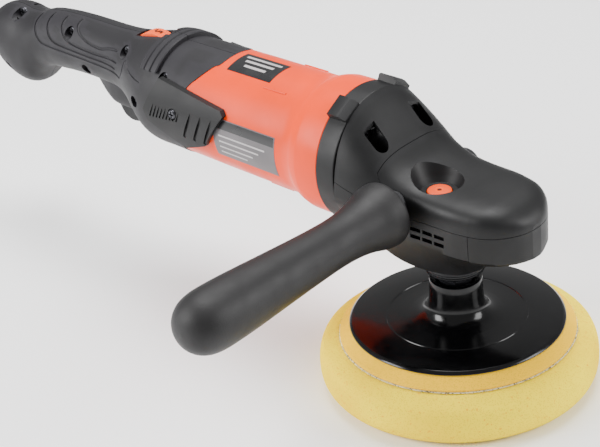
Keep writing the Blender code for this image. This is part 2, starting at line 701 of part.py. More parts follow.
def make_armature(frame):
    """Shaft, core, windings, commutator, fan and pinion, all on the motor axis."""
    at = (0, 0, AXIS_Z)
    shaft = turned("armature_shaft", [(0, -18.5), (3.4, -18.5), (SHAFT_RADIUS, -20), (SHAFT_RADIUS, -226),
                                      (0, -226)], at, "X", 20)
    finish(shaft, "steel", frame)
    core = tube_ring("rotor_core", 21.4, SHAFT_RADIUS + FIT, 58, (-148, 0, AXIS_Z), "X", 36)
    for slot in range(12):
        angle = 2 * math.pi * slot / 12
        groove = box("groove", (70, 2.4, 6), (-148, 20.5 * math.cos(angle), AXIS_Z + 20.5 * math.sin(angle)))
        groove.rotation_euler.x = angle + math.pi / 2
        cut(core, groove)
    finish(core, "lamination", frame)
    for name, x in (("armature_winding_front", -112.3), ("armature_winding_rear", -183.7)):
        profile = [(12, 4.4), (18, 3.4), (20, 0), (18, -3.4), (12, -4.4), (SHAFT_RADIUS + FIT, -2),
                   (SHAFT_RADIUS + FIT, 2)]
        finish(turned(name, profile, (x, 0, AXIS_Z), "X", 20, ring=True), "copper", frame)
    finish(make_commutator(), "copper", frame)
    finish(make_fan(), "fan_plastic", frame)
    finish(make_pinion(), "steel", frame)


def make_commutator():
    profile = [(14.5, -190), (14.5, -192), (12.5, -192), (12.5, -207), (SHAFT_RADIUS + FIT, -207),
               (SHAFT_RADIUS + FIT, -190)]
    return turned("commutator", profile, (0, 0, AXIS_Z), "X", 20, ring=True)


def make_fan():
    """Hub and disc with radial blades on the motor's side."""
    obj = turned("fan", [(34, -94), (34, -95.6), (9, -96.5), (9, -106), (SHAFT_RADIUS + FIT, -106),
                         (SHAFT_RADIUS + FIT, -92), (9, -92)], (0, 0, AXIS_Z), "X", 20, ring=True)
    for blade in range(9):
        angle = 2 * math.pi * blade / 9
        centre = (-99.0, 21.0 * math.cos(angle), AXIS_Z + 21.0 * math.sin(angle))
        vane = box("vane", (8.0, 25.0, 1.6), centre)
        vane.rotation_euler.x = angle
        join(obj, vane)
    return obj


def make_pinion():
    """Small bevel gear that faces the crown gear's teeth across a working gap."""
    rings = [toothed_ring(PINION_TEETH, PINION_RADIUS, PINION_RADIUS - 1.8, -28.5),
             toothed_ring(PINION_TEETH, PINION_RADIUS - 0.3, PINION_RADIUS - 2.1, -27.5),
             toothed_ring(PINION_TEETH, 6.0, 5.0, -20.8)]
    obj = loft("pinion", rings)
    obj.location = (0, 0, AXIS_Z * MM)
    obj.rotation_euler = TURN["X"]
    join(obj, rod("pinion_hub", 7.0, 5.0, (-30.5, 0, AXIS_Z), "X", 20))
    cut(obj, rod("pinion_bore", SHAFT_RADIUS + FIT, 40, (-25, 0, AXIS_Z), "X", 20))
    return obj


def make_brushes(parent):
    """A holder and a carbon brush on each side of the commutator."""
    for name, side in (("left", 1), ("right", -1)):
        holder = box("brush_holder_" + name, (11, 18, 13), (-199.5, side * 24.2, AXIS_Z))
        cut(holder, box("brush_slot", (7.0, 30, 9.0), (-199.5, side * 24.2, AXIS_Z)))
        finish(holder, "brass", parent)
        brush = box("carbon_brush_" + name, (6.4, 15, 8.4), (-199.5, side * 21.0, AXIS_Z))
        finish(brush, "carbon", parent)


# ---- rear handle ---------------------------------------------------------------

# x, centre above the motor axis, half width, half height
HANDLE_STATIONS = [
    (HANDLE_REAR, 2.2, 11.6, 12.0), (-425.4, 1.4, 15.4, 16.2), (-420, 0.6, 19.2, 20.8),
    (-412, -1.2, 22.6, 25.4), (-402, -3.2, 24.2, 28.0), (-392, -4.8, 24.4, 28.2),
    (-384, -3.4, 24.0, 27.0), (-377, 1.8, 22.4, 23.4), (-369, 6.6, 20.8, 21.2),
    (-350, 8.8, 20.4, 21.4), (-328, 10.0, 20.2, 21.2), (-300, 9.8, 20.8, 21.4),
    (-284, 9.0, 22.4, 23.0), (-270, 6.2, 27.0, 27.4), (-258, 3.0, 33.0, 33.0),
    (-248, 0.9, 36.9, 37.0), (-238, 0.1, 38.5, 38.5), (-222, 0.0, 38.6, 38.6), (-176, 0.0, 39.4, 39.4),
]
HANDLE_POWER = 2.1
# x, z of the screws that close the handle halves, and how far from the middle plane their post ends
HANDLE_SCREWS = [(-396, 162, 0), (-334.5, 163.5, 0), (-273, 165, 7), (-318, 140.5, 0), (-404, 122, 0),
                 (-222, 163, 25), (-249, 141, 7)]
RECESS_DEPTH = 6.0
RECESS_RADIUS = 4.1
POST_RADIUS = 5.8


def handle_rings(inset, count):
    rings = []
    for x, centre, half_y, half_z in HANDLE_STATIONS:
        place_x = x
        if inset:
            place_x = min(x + inset, -170) if x < -420 else x + (8 if x == HANDLE_STATIONS[-1][0] else 0)
        rings.append(oval(place_x, AXIS_Z + centre, max(half_y - inset, 4), max(half_z - inset, 4),
                          max(half_z - inset, 4), HANDLE_POWER, count))
    return rings


def trigger_guard(inset):
    """The swelling under the grip that carries the trigger, as sections across X."""
    stations = [(-323, 0.5, 6.0), (-314, 8.0, 8.4), (-306, 13.2, 10.2), (-299, 15.4, 11.0),
                (-284, 15.6, 11.4), (-268, 15.0, 12.0), (-258, 9.0, 12.0)]
    rings = []
    for x, drop, half_width in stations:
        low = AXIS_Z + GRIP_CENTRE - GRIP_RADIUS - max(drop - inset, 0.2)
        rings.append(oval(x, low + 12, half_width - inset, 12, 12, 3.0, 16))
    return rings


def make_handle_shells(parent):
    """Two hollow halves that meet on the middle plane, from the rear knob to the motor."""
    body = loft("handle_body", handle_rings(0.0, 26))
    arch = turned("collar", [(41.6, -227.5), (42.0, -229), (42.0, -241), (41.0, -243.5), (30, -245),
                             (30, -227.5)], (0, 0, AXIS_Z), "X", 48, ring=True)
    common(arch, box("upper_half", (60, 70, 40), (-235, 0, AXIS_Z + 46)))
    join(body, arch)
    join(body, loft("guard", trigger_guard(0.0)))
    cut(body, side_prism("front", [(x, z) for x, z in reversed(front_region(-FIT / 2))], 160))
    hollow = loft("handle_hollow", handle_rings(2.8, 14))
    cut(body, hollow)
    cut(body, box("trigger_slot", (38.5, 15.4, 40), (-281.5, 0, 112)))
    cut(body, box("dial_slot", (34, 11.4, 30), (DIAL_X, 0, 180)))
    cut(body, rod("cord_hole", 7.3, 30, (HANDLE_REAR + 4, 0, AXIS_Z + 2.6), "X", 20))
    for x, z, inner in HANDLE_SCREWS:
        add_screw_post(body, x, z, inner)
    for name, side in (("handle_shell_left", 1), ("handle_shell_right", -1)):
        half = body.copy()
        half.data = body.data.copy()
        half.name = name
        CUTTERS.objects.link(half)
        common(half, box("half_space", (320, 60, 160), (-300, side * (30 + FIT / 2), AXIS_Z)))
        finish(half, "grip_rubber", parent)
    bpy.data.objects.remove(body, do_unlink=True)


def add_screw_post(body, x, z, inner):
    """Post across the hollow for one screw, with its hole, and the recess for its head."""
    reach = skin_y(x, z) - 1.5
    if inner:
        length = reach - inner
        for side in (-1, 1):
            join(body, rod("post", POST_RADIUS, length, (x, side * (inner + length / 2), z), "Y", 10))
    else:
        join(body, rod("post", POST_RADIUS, 2 * reach, (x, 0, z), "Y", 10))
    cut(body, rod("thread_hole", 1.9, 2 * reach - 6, (x, 0, z), "Y", 8))
    floor = skin_y(x, z) - RECESS_DEPTH
    cut(body, rod("screw_recess", RECESS_RADIUS, 30, (x, -floor - 15, z), "Y", 14))


def skin_y(x, z):
    """Distance from the middle plane to the handle's outer skin at x and height z."""
    centre, half_y, half_z = blend(HANDLE_STATIONS, x)
    rise = min(abs(z - AXIS_Z - centre) / half_z, 0.98)
    return half_y * (1 - rise ** HANDLE_POWER) ** (1 / HANDLE_POWER)


def front_region(x_shift):
    """Side view of everything in front of the handle shells' curved front edge."""
    edge = housing_split(x_shift)[:9]
    return edge + [(-100, AXIS_Z - 60), (-100, AXIS_Z + 60)]


def make_trigger(frame):
    """Curved finger lever that hangs below its guard."""
    outline = [(-298.6, 118), (-298.6, 113.5), (-293.5, 106.4), (-286, 104.8), (-278, 105.6),
               (-270, 112.5), (-264, 114), (-264, 121.5), (-284, 126), (-298, 124)]
    obj = side_prism("trigger", outline, 14.2)
    bevel = obj.modifiers.new("edges", "BEVEL")
    bevel.width = 1.4 * MM
    bevel.segments = 1
    bevel.limit_method = "ANGLE"
    freeze(obj)
    cut(obj, rod("pin_hole", 1.5 + FIT, 20, (TRIGGER_PIVOT[0], 0, TRIGGER_PIVOT[1]), "Y", 16))
    finish(obj, "black_plastic", frame)


def make_switch_parts(parent):
    """Pivot pin and return spring of the trigger, switch, and speed controller board."""
    x, z = TRIGGER_PIVOT
    finish(rod("trigger_pin", 1.5, 14.6, (x, 0, z), "Y", 12), "steel", parent)
    finish(coil("trigger_spring", 3.2, 0.5, 10.0, 4, (-294.4, 0, 126.5)), "steel", parent)
    switch = box("switch_body", (30, 17, 20), (-296, 0, 147.2))
    join(switch, box("switch_neck", (7, 9, 6), (-285, 0, 135)))
    finish(switch, "black_plastic", parent)
    finish(box("speed_board", (24, 1.6, 14), (-352, 7, 147)), "board_green", parent)


def make_dial(frame):
    """Thumbwheel with a knurled rim, seen through the slot in the top of the handle."""
    count = 24
    rim = []
    for i in range(count * 2):
        radius = DIAL_RADIUS - (0.5 if i % 2 else 0.0)
        angle = math.pi * i / count
        rim.append((radius * math.cos(angle), radius * math.sin(angle)))
    bore = [(2.3 * math.cos(a), 2.3 * math.sin(a)) for a in [2 * math.pi * i / 12 for i in range(12)]]
    obj = plate("speed_dial", rim, 10.0, (DIAL_X, 0, DIAL_Z), "Y", holes=(bore,))
    finish(obj, "dial_orange", frame)


def make_dial_axle(parent):
    finish(rod("dial_axle", 2.0, 26, (DIAL_X, 0, DIAL_Z), "Y", 14), "steel", parent)


def make_cord_inlet(parent):
    """Rubber bush in the rear end, where the mains lead would enter."""
    rear = HANDLE_REAR
    profile = [(7.0, rear + 9), (7.0, rear - FIT), (9.4, rear - FIT), (9.0, rear - 1.8), (4.0, rear - 1.8),
               (4.0, rear + 9)]
    finish(turned("cord_inlet", profile, (0, 0, AXIS_Z + 2.6), "X", 20, ring=True), "black_plastic",
           parent)


# ---- side handle, vent covers and screws ------------------------------------------

def make_side_handle(parent):
    """Turned rubber grip, waisted near the tool and rounded at the tip."""
    base, tip = -SIDE_HANDLE_BASE, -SIDE_HANDLE_TIP
    profile = [(0, tip), (7, tip - 1.2), (12.6, tip - 4.6), (16.8, tip - 10.6), (19.0, tip - 19),
               (19.4, tip - 28), (18.4, base + 122), (16.4, base + 84), (14.9, base + 50),
               (15.4, base + 33), (17.6, base + 20), (20.4, base + 10), (21.0, base + 3), (20.4, base),
               (5.6, base), (5.6, base + 40), (0, base + 40)]
    rows = [(r, -y) for r, y in reversed(profile)]
    obj = turned("side_handle_grip", rows, (SIDE_HANDLE_X, 0, SIDE_HANDLE_Z), "Y", 26)
    finish(obj, "side_handle_rubber", parent)
    length = 50.0
    middle = SIDE_HANDLE_BASE + STUD_DEPTH - length / 2
    stud = rod("side_handle_stud", STUD_RADIUS, length, (SIDE_HANDLE_X, middle, SIDE_HANDLE_Z), "Y", 16)
    finish(stud, "steel", parent)


VENT_OUTLINE = [(-222, 25), (-161, 18.5), (-158, 15.5), (-175.5, -10), (-183, -13),
                (-197, -18.6), (-229, -5), (-232.5, 3)]


def make_vent_covers(parent):
    """Proud black panels over the brushes, one on each side: fine grille behind, ribs in front."""
    outline = [(x, AXIS_Z + z) for x, z in VENT_OUTLINE]
    for name, side in (("vent_cover_left", 1), ("vent_cover_right", -1)):
        obj = tube_ring(name, 43.4, 40.0, 90, (-195, 0, AXIS_Z), "X", 56)
        common(obj, side_prism("panel", outline, 60, side * 40))
        for rib in range(3):
            x = -189.0 + rib * 9.6
            cut(obj, box("groove", (2.0, 30, 26), (x, side * (42.2 + 15), AXIS_Z + 4), tilt=24))
        cut(obj, rod("screw_recess", 3.9, 10, (-204, side * 46.4, AXIS_Z + 6), "Y", 16))
        cut(obj, rod("screw_hole", 1.9, 20, (-204, side * 40, AXIS_Z + 6), "Y", 10))
        finish(obj, "black_plastic", parent)


def make_screw(name, at, axis, direction, head, shank, length, parent):
    """Pan head screw; direction is the way the shank points along the axis."""
    height = 0.62 * head
    rows = [(0, length), (shank, length), (shank, 0), (head, 0), (head, -0.6 * height),
            (0.6 * head, -height), (0, -0.5 * height)]
    if direction < 0:
        rows = [(r, -z) for r, z in reversed(rows)]
    finish(turned(name, rows, at, axis, 8), "dark_steel", parent)


def make_screws(parent):
    for name, side in (("head_screw_left", 1), ("head_screw_right", -1)):
        make_screw(name, (-52.5 + FIT, side * HEAD_SCREW_Y, HEAD_SCREW_Z), "X", -1, 4.2, 2.0, 14, parent)
    for index, (x, z, inner) in enumerate(HANDLE_SCREWS, start=1):
        floor = skin_y(x, z) - RECESS_DEPTH
        length = floor - inner - 1.5 if inner else floor + skin_y(x, z) - 8
        make_screw("handle_screw_%d" % index, (x, -floor - FIT, z), "Y", 1, 3.6, 1.6, length, parent)
    for name, side in (("vent_screw_left", 1), ("vent_screw_right", -1)):
        make_screw(name, (-204, side * (41.4 + FIT), AXIS_Z + 6), "Y", -side, 3.4, 1.5, 1.2, parent)


def main():
    root = empty("polisher", (0, 0, 0))
    spindle = empty("spindle_axis", (0, 0, 0))
    rotor = empty("rotor_axis", (0, 0, AXIS_Z))
    lock = empty("lock_axis", (0, LOCK_Y, LOCK_TOP))
    trigger = empty("trigger_axis", (TRIGGER_PIVOT[0], 0, TRIGGER_PIVOT[1]))
    dial = empty("dial_axis", (DIAL_X, 0, DIAL_Z))

    make_pad(spindle)
    make_hook_loop(spindle)
    make_backing_foam(spindle)
    make_backing_plate(spindle)
    make_spindle(spindle)
    make_crown_gear(spindle)

    make_gear_housing(root)
    make_bearing_retainer(root)
    make_bearing("lower_bearing", 7.5, 15.6, 9, (0, 0, 90.2), "Z", root)
    make_bearing("upper_bearing", 7.5, 15.6, 9, (0, 0, 105.4), "Z", root)
    make_palm_cover(root)
    make_slope_cover(root)
    make_bands(root)
    make_lock_button(lock)
    make_lock_spring(root)

    make_motor_housing(root)
    make_flange_ring(root)
    make_stator(root)
    make_armature(rotor)
    make_bearing("front_motor_bearing", 4.3, 13.1, 8, (-43, 0, AXIS_Z), "X", root)
    make_bearing("rear_motor_bearing", 4.3, 11, 7, (-219, 0, AXIS_Z), "X", root)
    make_brushes(root)

    make_handle_shells(root)
    make_trigger(trigger)
    make_switch_parts(root)
    make_dial(dial)
    make_dial_axle(root)
    make_cord_inlet(root)

    make_side_handle(root)
    make_vent_covers(root)
    make_screws(root)


main()
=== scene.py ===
"""Looks of the rotary polisher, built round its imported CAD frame.

Lengths are in millimetres and angles in degrees; MM turns lengths into Blender's metres.
The motor's axis lies along X. Round the motor, angle 0 points to +Y, 90 up and 180 to -Y.
"""
import json
import math
import random

import bmesh
import bpy
from mathutils import Matrix, Vector


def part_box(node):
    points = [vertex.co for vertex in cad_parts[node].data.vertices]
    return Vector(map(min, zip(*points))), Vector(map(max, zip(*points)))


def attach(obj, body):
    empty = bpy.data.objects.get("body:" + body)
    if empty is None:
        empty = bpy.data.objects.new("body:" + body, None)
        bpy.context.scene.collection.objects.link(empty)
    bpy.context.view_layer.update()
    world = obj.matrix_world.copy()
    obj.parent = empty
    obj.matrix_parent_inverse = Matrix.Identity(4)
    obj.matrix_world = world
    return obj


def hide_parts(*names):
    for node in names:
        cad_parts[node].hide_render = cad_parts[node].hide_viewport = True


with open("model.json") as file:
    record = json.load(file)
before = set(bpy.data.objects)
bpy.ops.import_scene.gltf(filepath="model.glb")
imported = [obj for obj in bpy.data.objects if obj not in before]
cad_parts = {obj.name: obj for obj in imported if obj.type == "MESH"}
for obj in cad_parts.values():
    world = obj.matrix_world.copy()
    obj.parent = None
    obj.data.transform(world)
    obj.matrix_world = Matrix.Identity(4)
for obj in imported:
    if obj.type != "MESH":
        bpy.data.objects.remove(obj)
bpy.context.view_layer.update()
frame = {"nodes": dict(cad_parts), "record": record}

MM = 0.001
GAP = 0.35                   # width of a seam between two shells
SHARP = math.radians(34)
ROUND = 144                  # steps of a large turned piece

TURN = {
    "Z": (0.0, 0.0, 0.0),
    "X": (0.0, math.pi / 2, 0.0),
    "Y": (-math.pi / 2, 0.0, 0.0),
}


def corners(node):
    """Lowest and highest corner of a CAD node, in millimetres."""
    low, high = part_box(node)
    return low / MM, high / MM


def middle(node):
    low, high = corners(node)
    return (low + high) / 2


# ---- places and sizes read from the frame
AXIS_Z = middle("armature_shaft").z
PAD_LOW, PAD_HIGH = corners("polishing_pad")
PAD_RADIUS = PAD_HIGH.x
LOOP_LOW, LOOP_HIGH = corners("hook_loop_layer")
FOAM_LOW, FOAM_HIGH = corners("backing_foam")
PLATE_LOW, PLATE_HIGH = corners("backing_plate")
DISC_RADIUS = PLATE_HIGH.x
HUB_TOP = PLATE_HIGH.z
HEAD_SEAM_Z = 127.0
BAND_SPLIT_X = corners("nose_band")[0].x
HEAD_SCREW = middle("head_screw_left")
BOSS = middle("side_handle_stud")
BOSS_OPENING = 11.8          # radius of the hole in the covers round the handle's boss
FAR_BOSS_OPENING = 10.7
LOCK = middle("lock_button")
LOCK_TOP = corners("lock_button")[1].z
LOCK_RADIUS = (corners("lock_button")[1].x - corners("lock_button")[0].x) / 2
FLANGE_LOW, FLANGE_HIGH = corners("flange_ring")
FLANGE_RADIUS = 46.0
LUG_ANGLE = 31.0             # lugs, from straight up and straight down
LUG_WIDTH = 15.0
HANDLE_REAR = corners("handle_shell_left")[0].x
DIAL = middle("speed_dial")
DIAL_RADIUS = (corners("speed_dial")[1].x - corners("speed_dial")[0].x) / 2
PIVOT = middle("trigger_pin")
GRIP_LOW, GRIP_HIGH = corners("side_handle_grip")
SIDE_BASE, SIDE_TIP = -GRIP_HIGH.y, -GRIP_LOW.y


# ---- materials ---------------------------------------------------------------

def linear(colour):
    """sRGB 0 to 255 as linear RGBA."""
    out = []
    for channel in colour:
        value = channel / 255.0
        out.append(value / 12.92 if value <= 0.04045 else ((value + 0.055) / 1.055) ** 2.4)
    return (*out, 1.0)


def shade(colour, factor):
    return tuple(min(255.0, max(0.0, c * factor)) for c in colour)


class Surface:
    """A Principled material with procedural colour, roughness and relief in object space."""

    def __init__(self, name, colour, roughness, metallic=0.0):
        self.colour = colour
        self.mat = bpy.data.materials.new(name)
        self.mat.use_nodes = True
        self.tree = self.mat.node_tree
        self.shader = self.tree.nodes["Principled BSDF"]
        self.shader.inputs["Metallic"].default_value = metallic
        self.coordinates = self.tree.nodes.new("ShaderNodeTexCoord").outputs["Object"]
        self.paint = None
        self.relief = None
        self.vary_colour(18.0, 0.06)
        self.vary_roughness(roughness, 0.06)

    def noise(self, scale, detail=3.0, stretch=(1.0, 1.0, 1.0)):
        mapping = self.tree.nodes.new("ShaderNodeMapping")
        mapping.inputs["Scale"].default_value = stretch
        self.tree.links.new(self.coordinates, mapping.inputs["Vector"])
        texture = self.tree.nodes.new("ShaderNodeTexNoise")
        texture.inputs["Scale"].default_value = scale
        texture.inputs["Detail"].default_value = detail
        self.tree.links.new(mapping.outputs["Vector"], texture.inputs["Vector"])
        return texture.outputs["Fac"]

    def remap(self, value, source, target=(0.0, 1.0)):
        """Stretch one range of a value over another."""
        node = self.tree.nodes.new("ShaderNodeMapRange")
        for end, number in zip(("From Min", "From Max", "To Min", "To Max"), source + target):
            node.inputs[end].default_value = number
        self.tree.links.new(value, node.inputs["Value"])
        return node.outputs["Result"]

    def spread(self, value, low, high):
        """Stretch the middle of a noise over a range."""
        return self.remap(value, (0.3, 0.7), (low, high))

    def mix(self, factor, first, second):
        node = self.tree.nodes.new("ShaderNodeMix")
        node.data_type = "RGBA"
        self.tree.links.new(factor, node.inputs["Factor"])
        for socket, value in (("A", first), ("B", second)):
            target = [s for s in node.inputs if s.name == socket and s.type == "RGBA"][0]
            if isinstance(value, tuple):
                target.default_value = value
            else:
                self.tree.links.new(value, target)
        self.paint = [s for s in node.outputs if s.type == "RGBA"][0]
        self.tree.links.new(self.paint, self.shader.inputs["Base Color"])
        return self.paint

    def vary_colour(self, scale, amount):
        factor = self.spread(self.noise(scale, 4.0), 0.0, 1.0)
        self.mix(factor, linear(shade(self.colour, 1 - amount)), linear(shade(self.colour, 1 + amount)))
        return self

    def vary_roughness(self, roughness, amount, scale=60.0):
        value = self.spread(self.noise(scale, 2.0), roughness - amount, roughness + amount)
        self.tree.links.new(value, self.shader.inputs["Roughness"])
        return self

    def speckle(self, colour, scale, low, high):
        """Small spots of another colour where a fine noise passes a threshold."""
        spots = self.remap(self.noise(scale, 1.0), (low, high))
        self.mix(spots, self.paint, linear(colour))
        return self

    def add_relief(self, value, strength, depth):
        bump = self.tree.nodes.new("ShaderNodeBump")
        bump.inputs["Strength"].default_value = strength
        bump.inputs["Distance"].default_value = depth * MM
        self.tree.links.new(value, bump.inputs["Height"])
        if self.relief:
            self.tree.links.new(self.relief, bump.inputs["Normal"])
        self.relief = bump.outputs["Normal"]
        self.tree.links.new(self.relief, self.shader.inputs["Normal"])
        return self

    def grain(self, scale, strength, depth, stretch=(1.0, 1.0, 1.0)):
        return self.add_relief(self.noise(scale, 2.0, stretch), strength, depth)

    def pores(self, scale, strength, depth, shade_in_pores):
        """Open foam cells: dents, with painted shade that colours each cell darker inside."""
        cells = self.tree.nodes.new("ShaderNodeTexVoronoi")
        cells.inputs["Scale"].default_value = scale
        self.tree.links.new(self.coordinates, cells.inputs["Vector"])
        walls = self.remap(cells.outputs["Distance"], (0.0, 0.45))
        # Painted shade: the middle of each cell is mixed towards a darker colour.
        self.mix(walls, linear(shade(self.colour, shade_in_pores)), self.paint)
        return self.add_relief(walls, strength, depth)

    def worn(self, amount):
        """Painted highlight: convex edges are coloured lighter than the faces between them."""
        point = self.tree.nodes.new("ShaderNodeNewGeometry").outputs["Pointiness"]
        highlit_edge = self.remap(point, (0.505, 0.56), (0.0, amount))
        # Painted highlight on the edges, mixed over the base colour.
        self.mix(highlit_edge, self.paint, linear(shade(self.colour, 1.9)))
        return self

    def set(self, **constants):
        """Values that are the same all over, straight on the shader's sockets."""
        for name, value in constants.items():
            self.shader.inputs[name.replace("_", " ")].default_value = value
        return self


def make_materials():
    black = Surface("moulded_black", (13, 13, 14), 0.48)
    black.grain(1500, 0.35, 0.12).worn(0.3).set(Specular_IOR_Level=0.27)
    grip = Surface("soft_grip", (22, 21, 24), 0.58)
    grip.grain(1100, 0.45, 0.16).worn(0.3).set(Specular_IOR_Level=0.34)
    side = Surface("side_handle_rubber", (21, 20, 21), 0.55)
    side.grain(1000, 0.5, 0.2).worn(0.3).set(Specular_IOR_Level=0.34)
    orange = Surface("moulded_orange", (228, 60, 0), 0.38)
    orange.grain(900, 0.12, 0.06).set(Specular_IOR_Level=0.2)
    gloss = Surface("gloss_black", (4, 4, 5), 0.16)
    gloss.vary_roughness(0.17, 0.05, 140).grain(60, 0.05, 0.1).set(Specular_IOR_Level=0.3)
    foam = Surface("pad_foam", (255, 214, 0), 0.92)
    foam.pores(900, 0.5, 0.35, 0.86).speckle((236, 178, 0), 420, 0.66, 0.75)
    foam.set(Specular_IOR_Level=0.1, Subsurface_Weight=0.05, Subsurface_Scale=0.004)
    ring = Surface("ring_foam", (238, 186, 0), 0.9)
    ring.pores(1100, 0.45, 0.25, 0.84).set(Specular_IOR_Level=0.1)
    loop = Surface("loop_fabric", (226, 214, 158), 0.95)
    loop.speckle((40, 36, 26), 900, 0.56, 0.62).grain(1400, 0.9, 0.6).set(Sheen_Weight=0.5)
    cast = Surface("cast_dark", (34, 34, 36), 0.45, 0.5)
    cast.grain(700, 0.3, 0.15)
    steel = Surface("turned_steel", (150, 152, 156), 0.3, 1.0)
    steel.grain(900, 0.2, 0.05, (1.0, 1.0, 12.0))
    dark_steel = Surface("blackened_steel", (48, 48, 51), 0.38, 0.9)
    dark_steel.grain(900, 0.25, 0.05).worn(0.4)
    copper = Surface("enamelled_copper", (180, 88, 44), 0.35, 1.0)
    copper.grain(500, 0.4, 0.3, (1.0, 1.0, 6.0))
    lamination = Surface("laminations", (92, 94, 98), 0.5, 0.9)
    lamination.grain(300, 0.5, 0.3, (9.0, 0.2, 0.2))
    brass = Surface("brass", (196, 160, 80), 0.35, 1.0)
    brass.grain(600, 0.2, 0.05)
    carbon = Surface("carbon", (24, 24, 25), 0.8)
    carbon.grain(900, 0.4, 0.1)
    board = Surface("circuit_board", (26, 84, 52), 0.45)
    board.speckle((180, 150, 60), 500, 0.66, 0.68)
    fan = Surface("fan_nylon", (210, 204, 190), 0.5)
    fan.grain(700, 0.2, 0.1)
    button = Surface("dial_orange", (232, 72, 0), 0.4)
    button.grain(1200, 0.2, 0.08).worn(0.2).set(Specular_IOR_Level=0.35)
    label = Surface("label_film", (20, 20, 22), 0.3)
    label.grain(300, 0.04, 0.05)
    side_label = Surface("label_grey", (88, 84, 86), 0.35)
    side_label.vary_colour(40.0, 0.1)
    pale = Surface("label_pale", (170, 166, 166), 0.4)
    pale.grain(400, 0.1, 0.05)
    return {
        "orange_plastic": orange, "black_plastic": black, "grip_rubber": grip,
        "side_handle_rubber": side, "gloss_black": gloss, "pad_foam": foam, "ring_foam": ring,
        "hook_loop": loop, "cast_aluminium": cast, "steel": steel, "dark_steel": dark_steel,
        "copper": copper, "lamination": lamination, "brass": brass, "carbon": carbon,
        "board_green": board, "fan_plastic": fan, "dial_orange": button,
        "label": label, "side_label": side_label, "pale": pale,
    }


SURFACES = make_materials()
SLOT_OF = {entry["node"]: entry["material_slot"] for entry in frame["record"]["subparts"]}


def repaint_frame():
    """Every CAD node that stays visible gets its slot's detailed material."""
    for name, node in frame["nodes"].items():
        node.data.materials.clear()
        node.data.materials.append(SURFACES[SLOT_OF[name]].mat)


# ---- shape tools -------------------------------------------------------------

def place(name, mesh, at=(0, 0, 0), axis="Z"):
    obj = bpy.data.objects.new(name, mesh)
    obj.location = Vector(at) * MM
    obj.rotation_euler = TURN[axis]
    bpy.context.scene.collection.objects.link(obj)
    return obj


def freeze(obj):
    """Give the object its evaluated mesh and drop its modifiers."""
    bpy.context.view_layer.update()
    graph = bpy.context.evaluated_depsgraph_get()
    mesh = bpy.data.meshes.new_from_object(obj.evaluated_get(graph))
    obj.modifiers.clear()
    obj.data = mesh
    return obj


def combine(obj, tool, operation):
    """Boolean one shape with another, which is used up."""
    modifier = obj.modifiers.new("combine", "BOOLEAN")
    modifier.operation = operation
    modifier.solver = "EXACT"
    modifier.object = tool
    freeze(obj)
    bpy.data.objects.remove(tool, do_unlink=True)
    return obj


def cut(obj, *tools):
    for tool in tools:
        combine(obj, tool, "DIFFERENCE")
    return obj


def join(obj, *tools):
    for tool in tools:
        combine(obj, tool, "UNION")
    return obj


def common(obj, tool):
    return combine(obj, tool, "INTERSECT")


def from_bmesh(name, shape, at=(0, 0, 0), axis="Z"):
    mesh = bpy.data.meshes.new(name)
    shape.to_mesh(mesh)
    shape.free()
    return place(name, mesh, at, axis)


def box(name, size, centre, tilt=0.0):
    shape = bmesh.new()
    bmesh.ops.create_cube(shape, size=1.0)
    bmesh.ops.scale(shape, vec=Vector(size) * MM, verts=shape.verts)
    obj = from_bmesh(name, shape, centre)
    obj.rotation_euler.y = math.radians(tilt)
    return obj


def rod(name, radius, length, centre, axis="Z", steps=48, tip_radius=None):
    shape = bmesh.new()
    end = radius if tip_radius is None else tip_radius
    bmesh.ops.create_cone(shape, cap_ends=True, segments=steps, radius1=radius * MM,
                          radius2=end * MM, depth=length * MM)
    return from_bmesh(name, shape, centre, axis)


def turned(name, profile, at=(0, 0, 0), axis="Z", steps=ROUND, ring=False):
    """Turn a profile of (radius, height) points, given down its outer side."""
    points = [(r * MM, 0.0, z * MM) for r, z in profile]
    edges = [(i, i + 1) for i in range(len(points) - 1)]
    if ring:
        edges.append((len(points) - 1, 0))
    mesh = bpy.data.meshes.new(name)
    mesh.from_pydata(points, edges, [])
    obj = place(name, mesh, at, axis)
    screw = obj.modifiers.new("turn", "SCREW")
    screw.steps = steps
    screw.render_steps = steps
    screw.use_merge_vertices = True
    screw.merge_threshold = 0.00001
    return freeze(obj)


def weld_curve(name, curve, at, axis="Z"):
    draft = place(name + "_draft", curve)
    bpy.context.view_layer.update()
    graph = bpy.context.evaluated_depsgraph_get()
    mesh = bpy.data.meshes.new_from_object(draft.evaluated_get(graph))
    bpy.data.objects.remove(draft, do_unlink=True)
    shape = bmesh.new()
    shape.from_mesh(mesh)
    bmesh.ops.remove_doubles(shape, verts=shape.verts, dist=0.00001)
    bmesh.ops.recalc_face_normals(shape, faces=shape.faces)
    return from_bmesh(name, shape, at, axis)


def plate(name, outline, thickness, at=(0, 0, 0), axis="Z", holes=()):
    """A flat outline with holes, extruded to both sides of its plane."""
    curve = bpy.data.curves.new(name, "CURVE")
    curve.dimensions = "2D"
    curve.fill_mode = "BOTH"
    curve.extrude = thickness * MM / 2
    for loop in (outline, *holes):
        spline = curve.splines.new("POLY")
        spline.points.add(len(loop) - 1)
        spline.use_cyclic_u = True
        for point, (u, v) in zip(spline.points, loop):
            point.co = (u * MM, v * MM, 0.0, 1.0)
    return weld_curve(name, curve, at, axis)


def side_prism(name, outline, width, y=0.0):
    """Extrude an outline of (x, z) points along Y."""
    return plate(name, [(x, -z) for x, z in outline], width, (0, y, 0), "Y")


def wire(name, points, radius, sides=2):
    curve = bpy.data.curves.new(name, "CURVE")
    curve.dimensions = "3D"
    curve.bevel_depth = radius * MM
    curve.bevel_resolution = sides
    curve.use_fill_caps = True
    spline = curve.splines.new("POLY")
    spline.points.add(len(points) - 1)
    for point, place_mm in zip(spline.points, points):
        point.co = (*[c * MM for c in place_mm], 1.0)
    return weld_curve(name, curve, (0, 0, 0))


